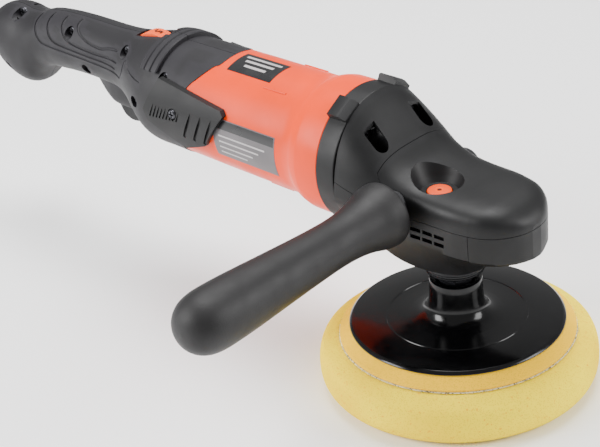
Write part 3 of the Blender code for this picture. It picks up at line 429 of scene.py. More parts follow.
def smooth(points, parts):
    """Catmull-Rom curve through rows of numbers, with parts steps between neighbours."""
    rows = []
    last = len(points) - 1
    for i in range(last):
        before, here = points[max(i - 1, 0)], points[i]
        there, after = points[i + 1], points[min(i + 2, last)]
        for step in range(parts):
            t = step / parts
            row = []
            for a, b, c, d in zip(before, here, there, after):
                row.append(0.5 * (2 * b + (c - a) * t + (2 * a - 5 * b + 4 * c - d) * t * t
                                  + (3 * b - a - 3 * c + d) * t ** 3))
            rows.append(tuple(row))
    rows.append(tuple(points[-1]))
    return rows


def oval(x, centre_z, half_y, up, down, power, count):
    ring = []
    for i in range(count):
        angle = 2 * math.pi * i / count
        c, s = math.cos(angle), math.sin(angle)
        y = half_y * math.copysign(abs(c) ** (2 / power), c)
        z = (up if s > 0 else down) * math.copysign(abs(s) ** (2 / power), s)
        ring.append((x, y, centre_z + z))
    return ring


def loft(name, rings):
    """A closed skin through rings of equal count, each end closed flat."""
    shape = bmesh.new()
    rows = [[shape.verts.new(Vector(p) * MM) for p in ring] for ring in rings]
    count = len(rows[0])
    for near, far in zip(rows, rows[1:]):
        for i in range(count):
            j = (i + 1) % count
            shape.faces.new((near[i], near[j], far[j], far[i]))
    shape.faces.new(list(reversed(rows[0])))
    shape.faces.new(rows[-1])
    bmesh.ops.recalc_face_normals(shape, faces=shape.faces)
    return from_bmesh(name, shape)


def blend(table, x):
    """Values of a station table at x, straight between stations."""
    if x <= table[0][0]:
        return table[0][1:]
    for low, high in zip(table, table[1:]):
        if x <= high[0]:
            t = (x - low[0]) / (high[0] - low[0])
            return tuple(a + (b - a) * t for a, b in zip(low[1:], high[1:]))
    return table[-1][1:]


def round_edges(obj, width, segments=3, angle=38.0):
    bevel = obj.modifiers.new("round", "BEVEL")
    bevel.width = width * MM
    bevel.segments = segments
    bevel.limit_method = "ANGLE"
    bevel.angle_limit = math.radians(angle)
    bevel.miter_outer = "MITER_ARC"
    return freeze(obj)


def piece(obj, material, body, replaces=(), edges=0.0):
    """Finish a piece: rounded edges, smooth shading, material, body, and the nodes it stands for."""
    if edges:
        round_edges(obj, edges)
    obj.data.materials.clear()
    obj.data.materials.append(SURFACES[material].mat)
    obj.data.shade_smooth()
    obj.data.set_sharp_from_angle(angle=SHARP)
    if edges:
        weighted = obj.modifiers.new("normals", "WEIGHTED_NORMAL")
        weighted.keep_sharp = True
        freeze(obj)
    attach(obj, body)
    if replaces:
        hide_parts(*replaces)
    return obj


# ---- pad, foam ring, disc and spindle ---------------------------------------

def make_pad():
    """Soft foam pad: flat face, full side, wide pale shoulder up to the loop layer."""
    top, loop_radius = PAD_HIGH.z, LOOP_HIGH.x
    side = smooth([(loop_radius + 0.6, top - 0.2), (79.5, 31.0), (84.5, 28.7), (88.2, 25.2),
                   (PAD_RADIUS, 18.0), (89.7, 9.5), (87.2, 3.8), (82.5, 0.8), (77.0, 0.0)], 5)
    profile = [(0, top), (loop_radius - 1, top)] + side + [(0, 0)]
    pad = turned("foam_pad", profile)
    piece(pad, "pad_foam", "spindle_set", ["polishing_pad"])


def make_loop_layer():
    """Thin fabric between pad and foam, with its fibres standing out at the edge."""
    low, high, radius = LOOP_LOW.z, LOOP_HIGH.z, LOOP_HIGH.x
    profile = [(0, high), (radius, high), (radius + 0.5, (low + high) / 2), (radius, low), (0, low)]
    layer = turned("loop_layer", profile)
    piece(layer, "hook_loop", "spindle_set", ["hook_loop_layer"])
    shape = bmesh.new()
    chance = random.Random(5)
    for _ in range(700):
        angle = chance.uniform(0, 2 * math.pi)
        out = Vector((math.cos(angle), math.sin(angle), chance.uniform(-0.35, 0.6))).normalized()
        length = chance.uniform(0.9, 2.0)
        foot = Vector((math.cos(angle) * (radius - 0.2), math.sin(angle) * (radius - 0.2),
                       chance.uniform(low + 0.1, high)))
        turn = out.to_track_quat("Z", "Y").to_matrix().to_4x4()
        matrix = Matrix.Translation((foot + out * length / 2) * MM) @ turn
        bmesh.ops.create_cone(shape, segments=4, radius1=0.16 * MM, radius2=0.04 * MM,
                              depth=length * MM, cap_ends=True, matrix=matrix)
    piece(from_bmesh("loop_fibres", shape), "hook_loop", "spindle_set")


def make_foam_ring():
    """Firm foam between the loop layer and the disc, chamfered at its edge."""
    low, high = FOAM_LOW.z, FOAM_HIGH.z
    side = smooth([(DISC_RADIUS - 0.7, high), (71.3, 38.6), (73.9, 36.3), (75.8, 34.6),
                   (FOAM_HIGH.x, low + 0.5), (FOAM_HIGH.x - 0.3, low)], 4)
    ring = turned("foam_ring", [(0, high)] + side + [(0, low)])
    piece(ring, "ring_foam", "spindle_set", ["backing_foam"])


def make_disc():
    """Gloss disc with a bevelled rim, a fine raised circle and a filleted hub."""
    floor, rim = PLATE_LOW.z, 43.1
    hub = [(0, 52), (7.3, 52), (7.3, 64.5), (13.0, 64.5), (13.0, HUB_TOP - 0.4), (13.4, HUB_TOP),
           (16.2, HUB_TOP), (16.8, HUB_TOP - 0.3), (17.0, HUB_TOP - 0.9)]
    fillet = smooth([(17.1, 66), (17.6, 56), (19.4, 50.2), (24, 46.3), (31, 44.7)], 5)
    face = [(44.3, 44.15), (44.6, 44.5), (45.4, 44.5), (45.7, 44.1), (DISC_RADIUS - 2.2, rim + 0.05),
            (DISC_RADIUS - 1.8, rim - 0.1), (DISC_RADIUS - 0.2, rim - 1.4), (DISC_RADIUS, rim - 1.7),
            (DISC_RADIUS, floor), (0, floor)]
    disc = turned("backing_disc", hub + fillet + face)
    piece(disc, "gloss_black", "spindle_set", ["backing_plate"])


def make_spindle():
    """Spindle with two wrench flats above the hub."""
    profile = [(0, 129), (6, 129), (6, 111.2), (7.2, 111.2), (7.2, 83.6), (9.5, 83.6), (9.5, 78.6),
               (10.8, 78.6), (11.2, 78.2), (11.2, 70.4), (10.8, 70), (9.6, 66.2), (7.0, 66.2),
               (7.0, 54), (0, 54)]
    spindle = turned("drive_spindle", profile, steps=64)
    for side in (-1, 1):
        cut(spindle, box("flat", (30, 6, 6), (0, side * 11.6, 74.2)))
    piece(spindle, "dark_steel", "spindle_set", ["spindle"])


# ---- head ----------------------------------------------------------------------

# x, half width, top, roundness power, then the lower outline: crease (y, z), corner (y, z), floor z
HEAD_REAR = [
    (-57, 46.0, 186.3, 2.25, 38.0, 114.4, 24.0, 101.1, 95.2),
    (-51, 45.6, 180.5, 2.35, 38.6, 113.0, 25.0, 98.6, 93.4),
    (-45, 44.8, 174.0, 2.5, 38.8, 111.8, 26.0, 96.2, 91.6),
    (-38, 43.2, 166.3, 2.75, 38.8, 110.8, 27.0, 93.6, 89.6),
    (-31, 41.2, 159.3, 3.0, 38.4, 110.2, 27.4, 91.2, 87.6),
    (-24, 39.2, 153.6, 3.2, 37.8, 110.0, 27.2, 89.0, 85.8),
    (-16, 37.4, 149.2, 3.5, 36.8, 110.0, 26.4, 87.2, 84.2),
    (-6, 35.8, 146.0, 3.8, 35.7, 110.0, 25.0, 86.0, 83.0),
    (6, 35.0, 144.4, 4.0, 34.9, 110.0, 23.0, 86.0, 83.0),
    (18, 34.8, 144.0, 4.0, 34.7, 110.0, 20.0, 87.2, 84.6),
    (28, 34.5, 143.9, 4.0, 34.4, 110.0, 16.5, 91.0, 89.0),
    (BAND_SPLIT_X - 0.2, 33.0, 143.4, 3.9, 32.5, 109.8, 14.0, 101.0, 99.0),
]
HEAD_NOSE = [
    (BAND_SPLIT_X, 33.0, 143.4, 3.9, 32.7, 109.6, 30.4, 107.0, 107.0),
    (46, 30.6, 142.8, 3.8, 30.3, 109.6, 28.0, 107.0, 107.0),
    (54, 25.6, 140.6, 3.4, 25.3, 109.6, 23.0, 107.0, 107.0),
    (60, 18.6, 137.2, 3.0, 18.3, 109.6, 16.0, 107.0, 107.0),
    (63.6, 11.6, 133.6, 2.8, 11.3, 109.6, 9.0, 107.0, 107.0),
    (65.5, 4.0, 129.6, 2.5, 3.8, 109.6, 3.0, 107.0, 107.0),
]
WALL = 2.6
LINER_INSET = 0.6            # liners and cup stop this far inside the head's skin
ABOVE_HEAD = 152.0           # a height above the palm cover at the lock button


def head_ring(station, inset, arch_points):
    """One closed section of the head: rounded arch, straight walls, tapered underside."""
    x, half_width, top, power, crease_y, crease_z, corner_y, corner_z, floor = station
    half_width -= inset
    height = top - inset - HEAD_SEAM_Z
    upper = []
    for i in range(arch_points + 1):
        angle = math.pi * i / arch_points
        c, s = math.cos(angle), math.sin(angle)
        y = half_width * math.copysign(abs(c) ** (2 / power), c)
        upper.append((x, y, HEAD_SEAM_Z + height * max(s, 0.0) ** (2 / power)))
    right = [(crease_y - inset, crease_z + inset * 0.5), (corner_y - inset * 0.8, corner_z + inset),
             (corner_y * 0.4, floor + inset)]
    lower = [(x, -y, z) for y, z in right] + [(x, y, z) for y, z in reversed(right)]
    return upper + lower


def head_outside():
    stations = smooth(HEAD_REAR, 3) + smooth(HEAD_NOSE, 8)
    return loft("head_outside", [head_ring(s, 0.0, 56) for s in stations])


def head_core():
    """The head's solid a little inside its skin, for trimming what is joined to the shell."""
    return loft("head_core", [head_ring(s, LINER_INSET, 32) for s in HEAD_REAR + HEAD_NOSE[:4]])


def head_hollow():
    """The space inside the shell, run on past its open rear end."""
    rings = []
    run_on = 6
    for station in HEAD_REAR + HEAD_NOSE[:4]:
        shifted = (station[0] - (run_on if station is HEAD_REAR[0] else 0), *station[1:])
        rings.append(head_ring(shifted, WALL, 18))
    return loft("head_hollow", rings)


def head_skin():
    """The whole head as one shell, before it is parted into covers and shrouds."""
    outer = head_outside()
    cut(outer, head_hollow())
    for side, radius in ((-1, BOSS_OPENING), (1, FAR_BOSS_OPENING)):
        cut(outer, rod("handle_opening", radius, 40, (BOSS.x, side * 45, BOSS.z), "Y"))
    return outer


def seam_side(grow):
    """Side view of the region below the main seam, raised at the rear beside the flange."""
    drop = -grow / 2
    return [(-70, 145 + drop), (-57, 141 + drop), (-36, 134 + drop), (-20, HEAD_SEAM_Z + drop),
            (80, HEAD_SEAM_Z + drop), (80, 70), (-70, 70)]


def palm_side(grow):
    """Side view of the palm cover's region, stepped down in front of the slope cover."""
    shift = -grow / 2
    return [(-30 - shift, 210), (-30 - shift, 150), (-26 - shift, 145), (-9 - shift, 137),
            (-8 - shift, 110), (90, 110), (90, 210)]


def copy_of(obj, name):
    twin = obj.copy()
    twin.data = obj.data.copy()
    twin.name = name
    bpy.context.scene.collection.objects.link(twin)
    return twin


def make_head():
    skin = head_skin()
    palm, slope, band, nose = (copy_of(skin, n) for n in
                               ("palm_shell", "slope_shell", "side_shroud", "nose_shroud"))
    bpy.data.objects.remove(skin, do_unlink=True)
    finish_palm(palm)
    finish_slope(slope)
    finish_bands(band, nose)


def finish_palm(palm):
    """Front cover, with a deep dish round the lock button."""
    common(palm, side_prism("palm_region", palm_side(GAP), 140))
    cut(palm, side_prism("below_seam", seam_side(-GAP), 140))
    floor = LOCK_TOP - 1.3
    at = (LOCK.x, LOCK.y, 0)
    cup = turned("dish_cup", [(0, ABOVE_HEAD), (21.5, ABOVE_HEAD), (17.5, 144), (15.8, 140.4),
                              (13.4, 135.8), (0, 135.8)], at, steps=80)
    join(palm, common(cup, head_core()))
    slope = smooth([(19.4, ABOVE_HEAD), (15.6, 143.9), (13.8, 140.4), (11.6, floor)], 5)
    cut(palm, turned("dish", [(0, ABOVE_HEAD)] + slope + [(0, floor)], at, steps=80))
    cut(palm, rod("button_hole", LOCK_RADIUS + 0.35, 30, (LOCK.x, LOCK.y, 134)))
    piece(palm, "black_plastic", "tool_body", ["palm_cover"], edges=0.5)


def pocket_tool(name, width, height, rear, front, y, z):
    """U-shaped block for a screw pocket, round at its front end."""
    arc = [(front + width / 2 * math.cos(math.radians(a)), width / 2 * math.sin(math.radians(a)))
           for a in range(-90, 91, 10)]
    return plate(name, [(rear, -width / 2)] + arc + [(rear, width / 2)], height, (0, y, z))


def finish_slope(slope):
    """Rear cover, with a U-shaped pocket and a tunnel to each of its two screws."""
    for side in (-1, 1):
        y = side * HEAD_SCREW.y
        liner = pocket_tool("liner", 13, 14.2, -56.8, -50, y, 162.9)
        join(liner, pocket_tool("liner_front", 13, 19.2, -46.9, -38, y, 160.4))
        join(slope, common(liner, head_core()))
    cut(slope, side_prism("palm_region", palm_side(-GAP), 140))
    cut(slope, side_prism("below_seam", seam_side(-GAP), 140))
    for side in (-1, 1):
        y = side * HEAD_SCREW.y
        cut(slope, pocket_tool("pocket", 10.4, 29, -47.0, -38, y, 166.5))
        cut(slope, rod("tunnel", 4.9, 8, (-48.5, y, HEAD_SCREW.z), "X"))
        cut(slope, rod("screw_hole", 2.3, 20, (-60, y, HEAD_SCREW.z), "X"))
    piece(slope, "black_plastic", "tool_body", ["slope_cover"], edges=0.5)


def finish_bands(band, nose):
    """Lower shrouds, with the louvred vents over the handle boss's front."""
    for obj in (band, nose):
        common(obj, side_prism("seam_region", seam_side(GAP), 140))
    cut(band, box("front_half", (60, 140, 90), (BAND_SPLIT_X + 30 - GAP / 2, 0, 110)))
    cut(nose, box("rear_half", (140, 140, 90), (BAND_SPLIT_X - 70 + GAP / 2, 0, 110)))
    cut(band, rod("neck_opening", 19.2, 30, (0, 0, 82)))
    for y in (-36, 36):
        for z, first_x in ((120.6, 17.4), (115.4, 17.1)):
            for slot in range(3):
                cut(band, box("slot", (7.6, 12, 2.6), (first_x - slot * 9.1, y, z)))
    piece(band, "black_plastic", "tool_body", ["side_band"], edges=0.4)
    piece(nose, "black_plastic", "tool_body", ["nose_band"], edges=0.5)


def make_lock_button():
    top, radius = LOCK_TOP, LOCK_RADIUS
    dome = smooth([(2.4, top), (5.4, top - 0.15), (radius - 0.9, top - 0.35), (radius - 0.2, top - 0.8),
                   (radius, top - 1.4)], 4)
    profile = [(0, top - 1.0), (1.3, top - 1.0), (1.6, top - 0.2)] + dome + [(radius, 136.4), (0, 136.4)]
    cap = turned("lock_cap", profile, (LOCK.x, LOCK.y, 0), steps=64)
    piece(cap, "dial_orange", "lock_set", ["lock_button"])
    # A black disc on the floor of the cap's dimple: painted shade that makes the dimple read as a dark
    # hole.
    hole = rod("dimple_shade_disc", 1.25, 0.3, (LOCK.x, LOCK.y, top - 0.8), steps=24)
    piece(hole, "black_plastic", "lock_set")


def make_neck():
    """Ribbed bearing cap round the spindle, under the gear case."""
    rows = [(18.8, 80.7), (18.8, 80.0)]
    for rib in range(2):
        z = 79.8 - rib * 1.2
        rows += [(18.2, z), (18.2, z - 0.5), (18.8, z - 0.7)]
    rows += [(18.4, 77.6), (17.4, 77), (12.2, 77), (12.2, 80), (10, 80), (10, 84.6), (15.6, 84.6),
             (15.6, 80.7)]
    piece(turned("neck_cap", rows, steps=96, ring=True), "cast_aluminium", "tool_body",
          ["bearing_retainer"])


# ---- flange and motor housing -----------------------------------------------------

def make_flange():
    low, high = FLANGE_LOW.x, FLANGE_HIGH.x
    profile = [(44.6, high), (45.6, high - 0.3), (FLANGE_RADIUS, high - 1.2),
               (FLANGE_RADIUS, low + 0.5), (FLANGE_RADIUS - 0.5, low), (14, low), (14, low + 5),
               (36.6, low + 5), (36.6, high)]
    obj = turned("flange_collar", profile, (0, 0, AXIS_Z), "X", ring=True)
    outline = [(low, 40), (low, 49.4), (low + 1.2, 50.2), (-64.5, 50.2), (-62.0, 49.8),
               (high, 47.6), (high, 40)]
    for angle in (-LUG_ANGLE, LUG_ANGLE, 180 - LUG_ANGLE, 180 + LUG_ANGLE):
        lug = side_prism("lug", outline, LUG_WIDTH)
        lug.location.z = AXIS_Z * MM
        lug.rotation_euler.x += math.radians(angle)
        join(obj, lug)
    for side in (-1, 1):
        y = side * HEAD_SCREW.y
        join(obj, rod("post", 5, 12.6, (-64.1, y, HEAD_SCREW.z), "X"))
        cut(obj, rod("screw_hole", 2.3, 20, (-61, y, HEAD_SCREW.z), "X"))
    piece(obj, "black_plastic", "tool_body", ["flange_ring"], edges=0.6)


def housing_edge():
    """Curved rear edge of the orange housing, as (x, z) from top to bottom."""
    marks = [(-178, 60), (-181.5, 39), (-186, 35.5), (-193, 29), (-199, 22), (-203, 8), (-206, -12),
             (-211, -32), (-214, -60)]
    return smooth([(x, AXIS_Z + z) for x, z in marks], 5)


def housing_radius(x):
    """Outer radius of the orange housing at x."""
    return blend([(-215, 38.8), (-170, 39.6), (-108, 40.3), (-101, 41.4), (-96.5, 43.6)], x)[0]


def make_motor_housing():
    front = FLANGE_LOW.x - 0.3
    flare = [(44.7, front), (45.2, front - 0.6), (45.2, -84), (45.0, -91), (43.6, -96.5), (41.6, -101),
             (40.5, -106), (40.3, -110)]
    rear = [(40.3, -112), (39.6, -170), (38.8, -215)]
    inner = [(36.2, -215), (36.2, -112), (38.5, -100), (42.0, -92), (42.4, front)]
    profile = flare[:3] + smooth(flare[3:], 4) + rear + inner
    obj = turned("orange_housing", profile, (0, 0, AXIS_Z), "X", 160, ring=True)
    edge = [(x + GAP / 2, z) for x, z in housing_edge()]
    cut(obj, side_prism("behind", edge + [(-520, AXIS_Z - 60), (-520, AXIS_Z + 60)], 120))
    for angle in (60, 120, 240, 300):
        line = [(x, (housing_radius(x) + 0.1) * math.cos(math.radians(angle)),
                 AXIS_Z + (housing_radius(x) + 0.1) * math.sin(math.radians(angle)))
                for x in (-118, -128, -138)]
        join(obj, wire("crease", line, 0.7))
    piece(obj, "orange_plastic", "tool_body", ["motor_housing"], edges=0.45)


def curved_patch(name, x_range, angles, lift, thickness, chamfer=0.0):
    """A thin film on the housing, bounded by x and angle, with one corner cut off by the chamfer."""
    shape = bmesh.new()
    across, along = 40, 12
    rows = []
    for i in range(along + 1):
        x = x_range[0] + (x_range[1] - x_range[0]) * i / along
        row = []
        for j in range(across + 1):
            angle = angles[0] + (angles[1] - angles[0]) * j / across
            radius = housing_radius(x) + lift
            inset = chamfer * max(0.0, (j / across - 0.8) / 0.2) if i == 0 else 0.0
            row.append(shape.verts.new(Vector((x + inset, radius * math.cos(math.radians(angle)),
                                               AXIS_Z + radius * math.sin(math.radians(angle)))) * MM))
        rows.append(row)
    for low, high in zip(rows, rows[1:]):
        for j in range(across):
            shape.faces.new((low[j], low[j + 1], high[j + 1], high[j]))
    bmesh.ops.recalc_face_normals(shape, faces=shape.faces)
    obj = from_bmesh(name, shape)
    skin = obj.modifiers.new("thick", "SOLIDIFY")
    skin.thickness = thickness * MM
    skin.offset = 0.0
    return freeze(obj)


def make_labels():
    """Blank films where the tool carries its labels, with plain bars and no lettering."""
    films = [("top_film", (-175, -136), (83, 114), 0.15, "label"),
             ("side_film", (-169, -113), (162, 203), 0.15, "side_label"),
             ("side_film_head", (-168, -114), (163, 172), 0.25, "label")]
    films += [("top_bar_%d" % i, (-171 + 3 * i, -140 - 3 * i), (88 + 7 * i, 91 + 7 * i), 0.25, "pale")
              for i in range(3)]
    films += [("side_bar_%d" % i, (-164, -122 - 6 * i), (178 + 6 * i, 179.6 + 6 * i), 0.25, "pale")
              for i in range(4)]
    for name, x_range, angles, lift, material in films:
        piece(curved_patch(name, x_range, angles, lift, 0.12), material, "tool_body")


# ---- rear handle ----------------------------------------------------------------

# x, centre above the motor axis, half width, half height
HANDLE_STATIONS = [
    (HANDLE_REAR, 2.2, 11.6, 12.0), (-425.4, 1.4, 15.4, 16.2), (-420, 0.6, 19.2, 20.8),
    (-412, -1.2, 22.6, 25.4), (-402, -3.2, 24.2, 28.0), (-392, -4.8, 24.4, 28.2),
    (-384, -3.4, 24.0, 27.0), (-377, 1.8, 22.4, 23.4), (-369, 6.6, 20.8, 21.2),
    (-350, 8.8, 20.4, 21.4), (-328, 10.0, 20.2, 21.2), (-300, 9.8, 20.8, 21.4),
    (-284, 9.0, 22.4, 23.0), (-270, 6.2, 27.0, 27.4), (-258, 3.0, 33.0, 33.0),
    (-248, 0.9, 36.9, 37.0), (-238, 0.1, 38.5, 38.5), (-222, 0.0, 38.6, 38.6), (-176, 0.0, 39.4, 39.4),
]
HANDLE_POWER = 2.1
HANDLE_WALL = 2.8
POST_RADIUS = 5.8
POST_INSET = 0.7             # screw posts stop this far inside the handle's skin
HANDLE_SCREW_NODES = ["handle_screw_%d" % i for i in range(1, 8)]
# grip line: x and z where it starts near the top, z where it runs level, x and z where it ends
GRIP_LINES = [(-374, 171, 150.5, -275, 147.5), (-361, 173, 154.0, -281, 152.0),
              (-346, 174, 157.5, -279, 157.0), (-331, 175, 162.0, -281, 164.0)]


def skin_y(x, z):
    """Distance from the middle plane to the handle's outer skin at x and height z."""
    centre, half_y, half_z = blend(HANDLE_STATIONS, x)
    rise = min(abs(z - AXIS_Z - centre) / half_z, 0.98)
    return half_y * (1 - rise ** HANDLE_POWER) ** (1 / HANDLE_POWER)


def handle_solid(inset, count, parts):
    """The handle's solid, or its hollow, which runs on past the open front end."""
    rings = []
    for x, centre, half_y, half_z in smooth(HANDLE_STATIONS, parts):
        if inset:
            x = min(x + inset, -170) if x < -420 else x
        half_y, half_z = max(half_y - inset, 4), max(half_z - inset, 4)
        rings.append(oval(x, AXIS_Z + centre, half_y, half_z, half_z, HANDLE_POWER, count))
    if inset:
        rings.append([(-165, y, z) for _, y, z in rings[-1]])
    return loft("handle_solid", rings)


def guard_solid():
    """The swelling under the grip that carries the trigger."""
    stations = [(-323, 0.5, 6.0), (-314, 8.0, 8.4), (-306, 13.2, 10.2), (-299, 15.4, 11.0),
                (-284, 15.6, 11.4), (-268, 15.0, 12.0), (-258, 9.0, 12.0)]
    rings = []
    for x, drop, half_width in smooth(stations, 4):
        low = AXIS_Z - 11.9 - max(drop, 0.2)
        rings.append(oval(x, low + 12, half_width, 12, 12, 3.0, 40))
    return loft("guard", rings)


def make_handle():
    """Two hollow halves with screw posts, grip lines, and slots for the trigger and the dial."""
    body = handle_solid(0.0, 72, 4)
    ridges = [(41.4, -227.5), (42.0, -228.3), (42.0, -231.5), (41.1, -232.2), (41.1, -233.4),
              (42.0, -234.1), (42.0, -237.3), (41.1, -238.0), (41.1, -239.0), (41.8, -239.7),
              (41.4, -243.0), (39.0, -245.5), (30, -246), (30, -227.5)]
    arch = turned("collar", ridges, (0, 0, AXIS_Z), "X", ring=True)
    common(arch, box("upper_half", (60, 72, 40), (-235, 0, AXIS_Z + 46)))
    join(body, arch)
    join(body, guard_solid())
    edge = [(x - GAP / 2, z) for x, z in reversed(housing_edge())]
    cut(body, side_prism("front", edge + [(-100, AXIS_Z + 60), (-100, AXIS_Z - 60)], 160))
    cut(body, handle_solid(HANDLE_WALL, 24, 1))
    cut(body, box("trigger_slot", (38.5, 15.4, 40), (-281.5, 0, 112)))
    cut(body, box("dial_slot", (34, 11.4, 30), (DIAL.x, 0, 180)))
    cut(body, rod("cord_hole", 7.3, 30, (HANDLE_REAR + 4, 0, AXIS_Z + 2.6), "X"))
    for node in HANDLE_SCREW_NODES:
        low, high = corners(node)
        x, z = (low.x + high.x) / 2, (low.z + high.z) / 2
        skin = skin_y(x, z)
        inner = 7 if abs(x - DIAL.x) < DIAL_RADIUS else 1
        post = rod("post", POST_RADIUS, skin - inner, (x, -(skin + inner) / 2, z), "Y", 32)
        join(body, common(post, handle_solid(POST_INSET, 40, 2)))
        cut(body, rod("screw_recess", 4.1, 30, (x, low.y + 2.4 - 15, z), "Y", 40))
        cut(body, rod("screw_bore", 1.9, 60, (x, 0, z), "Y", 24))
    for side in (-1, 1):
        for line in GRIP_LINES:
            cut(body, wire("grip_line", grip_line(side, *line), 1.15))
        cut(body, wire("joint_line", joint_line(side), 0.6))
    for name, side in (("grip_shell_left", 1), ("grip_shell_right", -1)):
        half = copy_of(body, name)
        common(half, box("half_space", (320, 60, 160), (-300, side * (30 + GAP / 2), AXIS_Z)))
        node = "handle_shell_left" if side > 0 else "handle_shell_right"
        piece(half, "grip_rubber", "tool_body", [node], edges=0.4)
    bpy.data.objects.remove(body, do_unlink=True)


def on_skin(side, marks):
    """Marks of (x, z) laid on the handle's skin."""
    return [(x, side * skin_y(x, z), z) for x, z in smooth(marks, 5)]


def grip_line(side, x_top, z_top, z_low, x_end, z_end):
    """A groove that drops from the top of the grip, turns and runs forward."""
    marks = [(x_top, z_top), (x_top + 0.5, z_top - 5), (x_top + 3, (z_top + z_low) / 2 - 1),
             (x_top + 9, z_low + 2.5), (x_top + 18, z_low), ((x_top + x_end) / 2 + 6, z_low - 1),
             (x_end - 10, (z_low + z_end) / 2), (x_end, z_end)]
    return on_skin(side, marks)


def joint_line(side):
    """The groove that divides the soft grip from the motor's rear cover."""
    marks = [(-274.6, 147.5), (-270.5, 154), (-268, 162), (-262, 159.5), (-254, 157.5), (-243, 156.5)]
    return on_skin(side, marks)


def make_trigger():
    """Curved finger lever on its pivot pin."""
    outline = smooth([(-298.6, 118), (-298.4, 113.5), (-294, 107.4), (-287, 104.8), (-279, 106.0),
                      (-271, 111.8), (-264, 114)], 5)
    outline += [(-264, 121.5), (-284, 126), (-298, 124)]
    lever = side_prism("finger_lever", outline, 14.0)
    cut(lever, rod("pin_hole", 1.8, 20, (PIVOT.x, 0, PIVOT.z), "Y", 32))
    piece(lever, "black_plastic", "trigger_lever", ["trigger"], edges=1.3)


def make_dial():
    """Thumbwheel with a fine knurl, and numbers round its rim."""
    teeth = 60
    rim = []
    for i in range(teeth * 2):
        radius = DIAL_RADIUS - (0.35 if i % 2 else 0.0)
        angle = math.pi * i / teeth
        rim.append((radius * math.cos(angle), radius * math.sin(angle)))
    bore = [(2.3 * math.cos(a), 2.3 * math.sin(a)) for a in [2 * math.pi * i / 24 for i in range(24)]]
    wheel = plate("thumbwheel", rim, 10.0, (DIAL.x, 0, DIAL.z), "Y", holes=(bore,))
    piece(wheel, "dial_orange", "dial_wheel", ["speed_dial"], edges=0.3)
    number_in_view, step = 5, 40
    for number in range(1, 7):
        angle = math.radians((number - number_in_view) * step)
        text = bpy.data.curves.new("digit_%d" % number, "FONT")
        text.body = str(number)
        text.size = 9.0 * MM
        text.extrude = 0.15 * MM
        text.align_x = "CENTER"
        text.align_y = "CENTER"
        digit = weld_curve("dial_digit_%d" % number, text, (0, 0, 0))
        reading = Matrix.Rotation(math.radians(-90), 4, "Z")
        outward = Matrix.Rotation(angle, 4, "Y")
        digit.matrix_world = (Matrix.Translation(Vector((DIAL.x, 0, DIAL.z)) * MM) @ outward
                              @ Matrix.Translation((0, 0, DIAL_RADIUS * MM)) @ reading)
        piece(digit, "label", "dial_wheel")


def make_cord_inlet():
    """Rubber bush in the rear end, where a mains lead would enter."""
    rear, centre = HANDLE_REAR, AXIS_Z + 2.6
    rows = [(7.0, rear + 9), (7.0, rear - 0.3), (9.2, rear - 0.3), (9.4, rear - 0.8), (9.0, rear - 1.6),
            (8.4, rear - 1.8), (4.6, rear - 1.8), (4.0, rear - 1.2), (4.0, rear + 9)]
    piece(turned("cord_bush", rows, (0, 0, centre), "X", 64, ring=True), "black_plastic", "tool_body",
          ["cord_inlet"])


# ---- side handle, vent covers, screws ----------------------------------------------

def make_side_handle():
    """Waisted rubber grip with a rounded tip and a small drain hole under it."""
    base, tip = SIDE_BASE, SIDE_TIP
    body = smooth([(20.2, base), (21.0, base + 2.5), (20.3, base + 10), (17.6, base + 20),
                   (15.6, base + 32), (14.9, base + 48), (15.6, base + 70), (17.2, base + 100),
                   (18.8, base + 128), (19.4, tip - 28), (19.0, tip - 18), (17.0, tip - 10.4),
                   (12.8, tip - 4.4), (7, tip - 1.0), (0, tip)], 6)
    rows = [(0, -(base + 40)), (5.6, -(base + 40)), (5.6, -base)] + [(max(r, 0), -y) for r, y in body]
    grip = turned("side_grip", rows, (BOSS.x, 0, BOSS.z), "Y")
    under = Vector((0.35, 0, -1)).normalized()
    y = -(tip - 13)
    foot = Vector((BOSS.x, y, BOSS.z)) + under * 18.2
    hole = rod("drain_hole", 1.5, 8, foot, steps=24)
    hole.rotation_euler = under.to_track_quat("Z", "Y").to_euler()
    cut(grip, hole)
    piece(grip, "side_handle_rubber", "tool_body", ["side_handle_grip"])


VENT_OUTLINE = [(-222, 25), (-161, 18.5), (-158, 15.5), (-175.5, -10), (-183, -13),
                (-197, -18.6), (-229, -5), (-232.5, 3)]
VENT_TILT = 24               # ribs and slats lean back from straight up
VENT_SCREW = middle("vent_screw_left")


def make_vent_covers():
    """Proud panels over the brushes: fine slats behind, three ribs in front."""
    outline = [(x, AXIS_Z + z) for x, z in VENT_OUTLINE]
    rows = [(43.4, 45), (43.4, -45), (40.0, -45), (40.0, 45)]
    for name, side in (("vent_cover_left", 1), ("vent_cover_right", -1)):
        panel = turned("brush_" + name, rows, (-195, 0, AXIS_Z), "X", 160, ring=True)
        common(panel, side_prism("panel", outline, 60, side * 40))
        for rib in range(3):
            x = -189.0 + rib * 9.6
            cut(panel, box("groove", (2.2, 30, 27), (x, side * (42.0 + 15), AXIS_Z + 4),
                           tilt=VENT_TILT))
        for slat in range(9):
            x = -223.0 + slat * 3.2
            cut(panel, box("slat", (1.2, 30, 15), (x, side * (42.5 + 15), AXIS_Z + 6 + slat * 0.3),
                           tilt=VENT_TILT))
        cut(panel, rod("screw_recess", 3.9, 10, (VENT_SCREW.x, side * 46.4, VENT_SCREW.z), "Y"))
        cut(panel, rod("screw_hole", 1.9, 20, (VENT_SCREW.x, side * 40, VENT_SCREW.z), "Y"))
        piece(panel, "black_plastic", "tool_body", [name], edges=0.5)


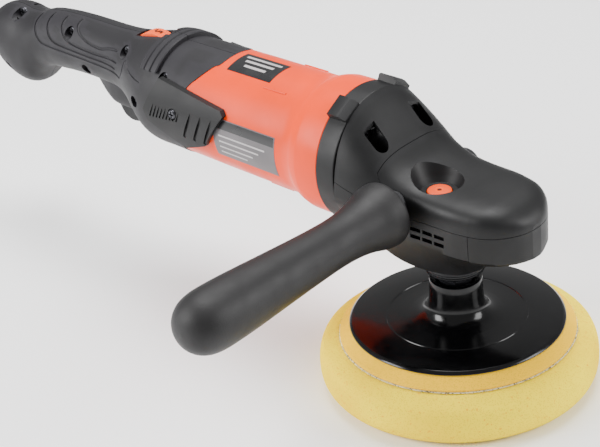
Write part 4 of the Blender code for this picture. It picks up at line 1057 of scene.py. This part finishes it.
def make_screw(node, direction):
    """Round head with a cross recess, in the place of a CAD screw."""
    low, high = corners(node)
    centre = (low + high) / 2
    reach = [high[i] - low[i] for i in range(3)]
    axis = max(range(3), key=lambda i: abs(direction[i]))
    radius = min(reach[i] for i in range(3) if i != axis) / 2
    length = reach[axis]
    head = centre.copy()
    head[axis] = high[axis] if direction[axis] > 0 else low[axis]
    rows = [(0, 0), (0.75 * radius, 0), (0.93 * radius, -0.15 * radius), (radius, -0.3 * radius),
            (radius, -0.6 * radius), (0.4 * radius, -0.62 * radius), (0.4 * radius, -length), (0, -length)]
    screw = turned("fitted_" + node, rows, steps=32)
    for size in ((1.3 * radius, 0.28 * radius, radius), (0.28 * radius, 1.3 * radius, radius)):
        cut(screw, box("cross", size, (0, 0, 0)))
    turn = Vector(direction).to_track_quat("Z", "Y").to_matrix().to_4x4()
    screw.matrix_world = Matrix.Translation(head * MM) @ turn
    piece(screw, "dark_steel", "tool_body", [node])


def make_screws():
    for node in HANDLE_SCREW_NODES + ["vent_screw_right"]:
        make_screw(node, (0, -1, 0))
    make_screw("vent_screw_left", (0, 1, 0))
    for node in ("head_screw_left", "head_screw_right"):
        make_screw(node, (1, 0, 0))


# ---- stage, light and camera ----------------------------------------------------------

CAMERA_AT = (731.5, -863.6, 738.6)
CAMERA_AZIMUTH, CAMERA_ELEVATION, CAMERA_ROLL = 45.11, 28.81, -4.87
CAMERA_LENS = 123.84


def make_camera():
    azimuth, elevation, roll = (math.radians(a) for a in
                                (CAMERA_AZIMUTH, CAMERA_ELEVATION, CAMERA_ROLL))
    back = Vector((math.sin(azimuth) * math.cos(elevation), -math.cos(azimuth) * math.cos(elevation),
                   math.sin(elevation)))
    right = Vector((math.cos(azimuth), math.sin(azimuth), 0))
    up = back.cross(right)
    x = right * math.cos(roll) + up * math.sin(roll)
    y = up * math.cos(roll) - right * math.sin(roll)
    data = bpy.data.cameras.new("photo_camera")
    data.lens = CAMERA_LENS
    data.sensor_width = 36.0
    data.clip_start = 0.05
    data.clip_end = 50.0
    camera = bpy.data.objects.new("photo_camera", data)
    matrix = Matrix((x, y, back)).transposed().to_4x4()
    matrix.translation = Vector(CAMERA_AT) * MM
    camera.matrix_world = matrix
    bpy.context.scene.collection.objects.link(camera)
    bpy.context.scene.camera = camera


LIGHT_TARGET = (-120, 0, 110)


def make_light(name, at, size, power):
    """A soft rectangular lamp that faces the middle of the tool."""
    data = bpy.data.lights.new(name, "AREA")
    data.shape = "RECTANGLE"
    data.size, data.size_y = (s * MM for s in size)
    data.energy = power
    lamp = bpy.data.objects.new(name, data)
    lamp.location = Vector(at) * MM
    lamp.rotation_euler = (Vector(LIGHT_TARGET) - Vector(at)).to_track_quat("-Z", "Y").to_euler()
    bpy.context.scene.collection.objects.link(lamp)


def make_stage():
    """Plain pale floor, even sky and three soft boxes."""
    shape = bmesh.new()
    bmesh.ops.create_grid(shape, x_segments=1, y_segments=1, size=8.0)
    floor = from_bmesh("floor", shape, (0, 0, PAD_LOW.z - 0.3))
    paint = bpy.data.materials.new("floor_white")
    paint.use_nodes = True
    shader = paint.node_tree.nodes["Principled BSDF"]
    shader.inputs["Base Color"].default_value = (0.97, 0.97, 0.97, 1.0)
    shader.inputs["Roughness"].default_value = 0.9
    floor.data.materials.append(paint)
    world = bpy.data.worlds.new("studio")
    world.use_nodes = True
    world.node_tree.nodes["Background"].inputs["Color"].default_value = (1.0, 1.0, 1.0, 1.0)
    world.node_tree.nodes["Background"].inputs["Strength"].default_value = 0.55
    bpy.context.scene.world = world
    make_light("left_softbox", (-900, -1300, 900), (700, 1000), 44)
    make_light("right_softbox", (1100, 700, 700), (600, 900), 20)
    make_light("top_softbox", (-300, 300, 1500), (1000, 700), 34)


repaint_frame()
make_camera()
make_stage()
make_pad()
make_loop_layer()
make_foam_ring()
make_disc()
make_spindle()
make_head()
make_lock_button()
make_neck()
make_flange()
make_motor_housing()
make_labels()
make_handle()
make_trigger()
make_dial()
make_cord_inlet()
make_side_handle()
make_vent_covers()
make_screws()
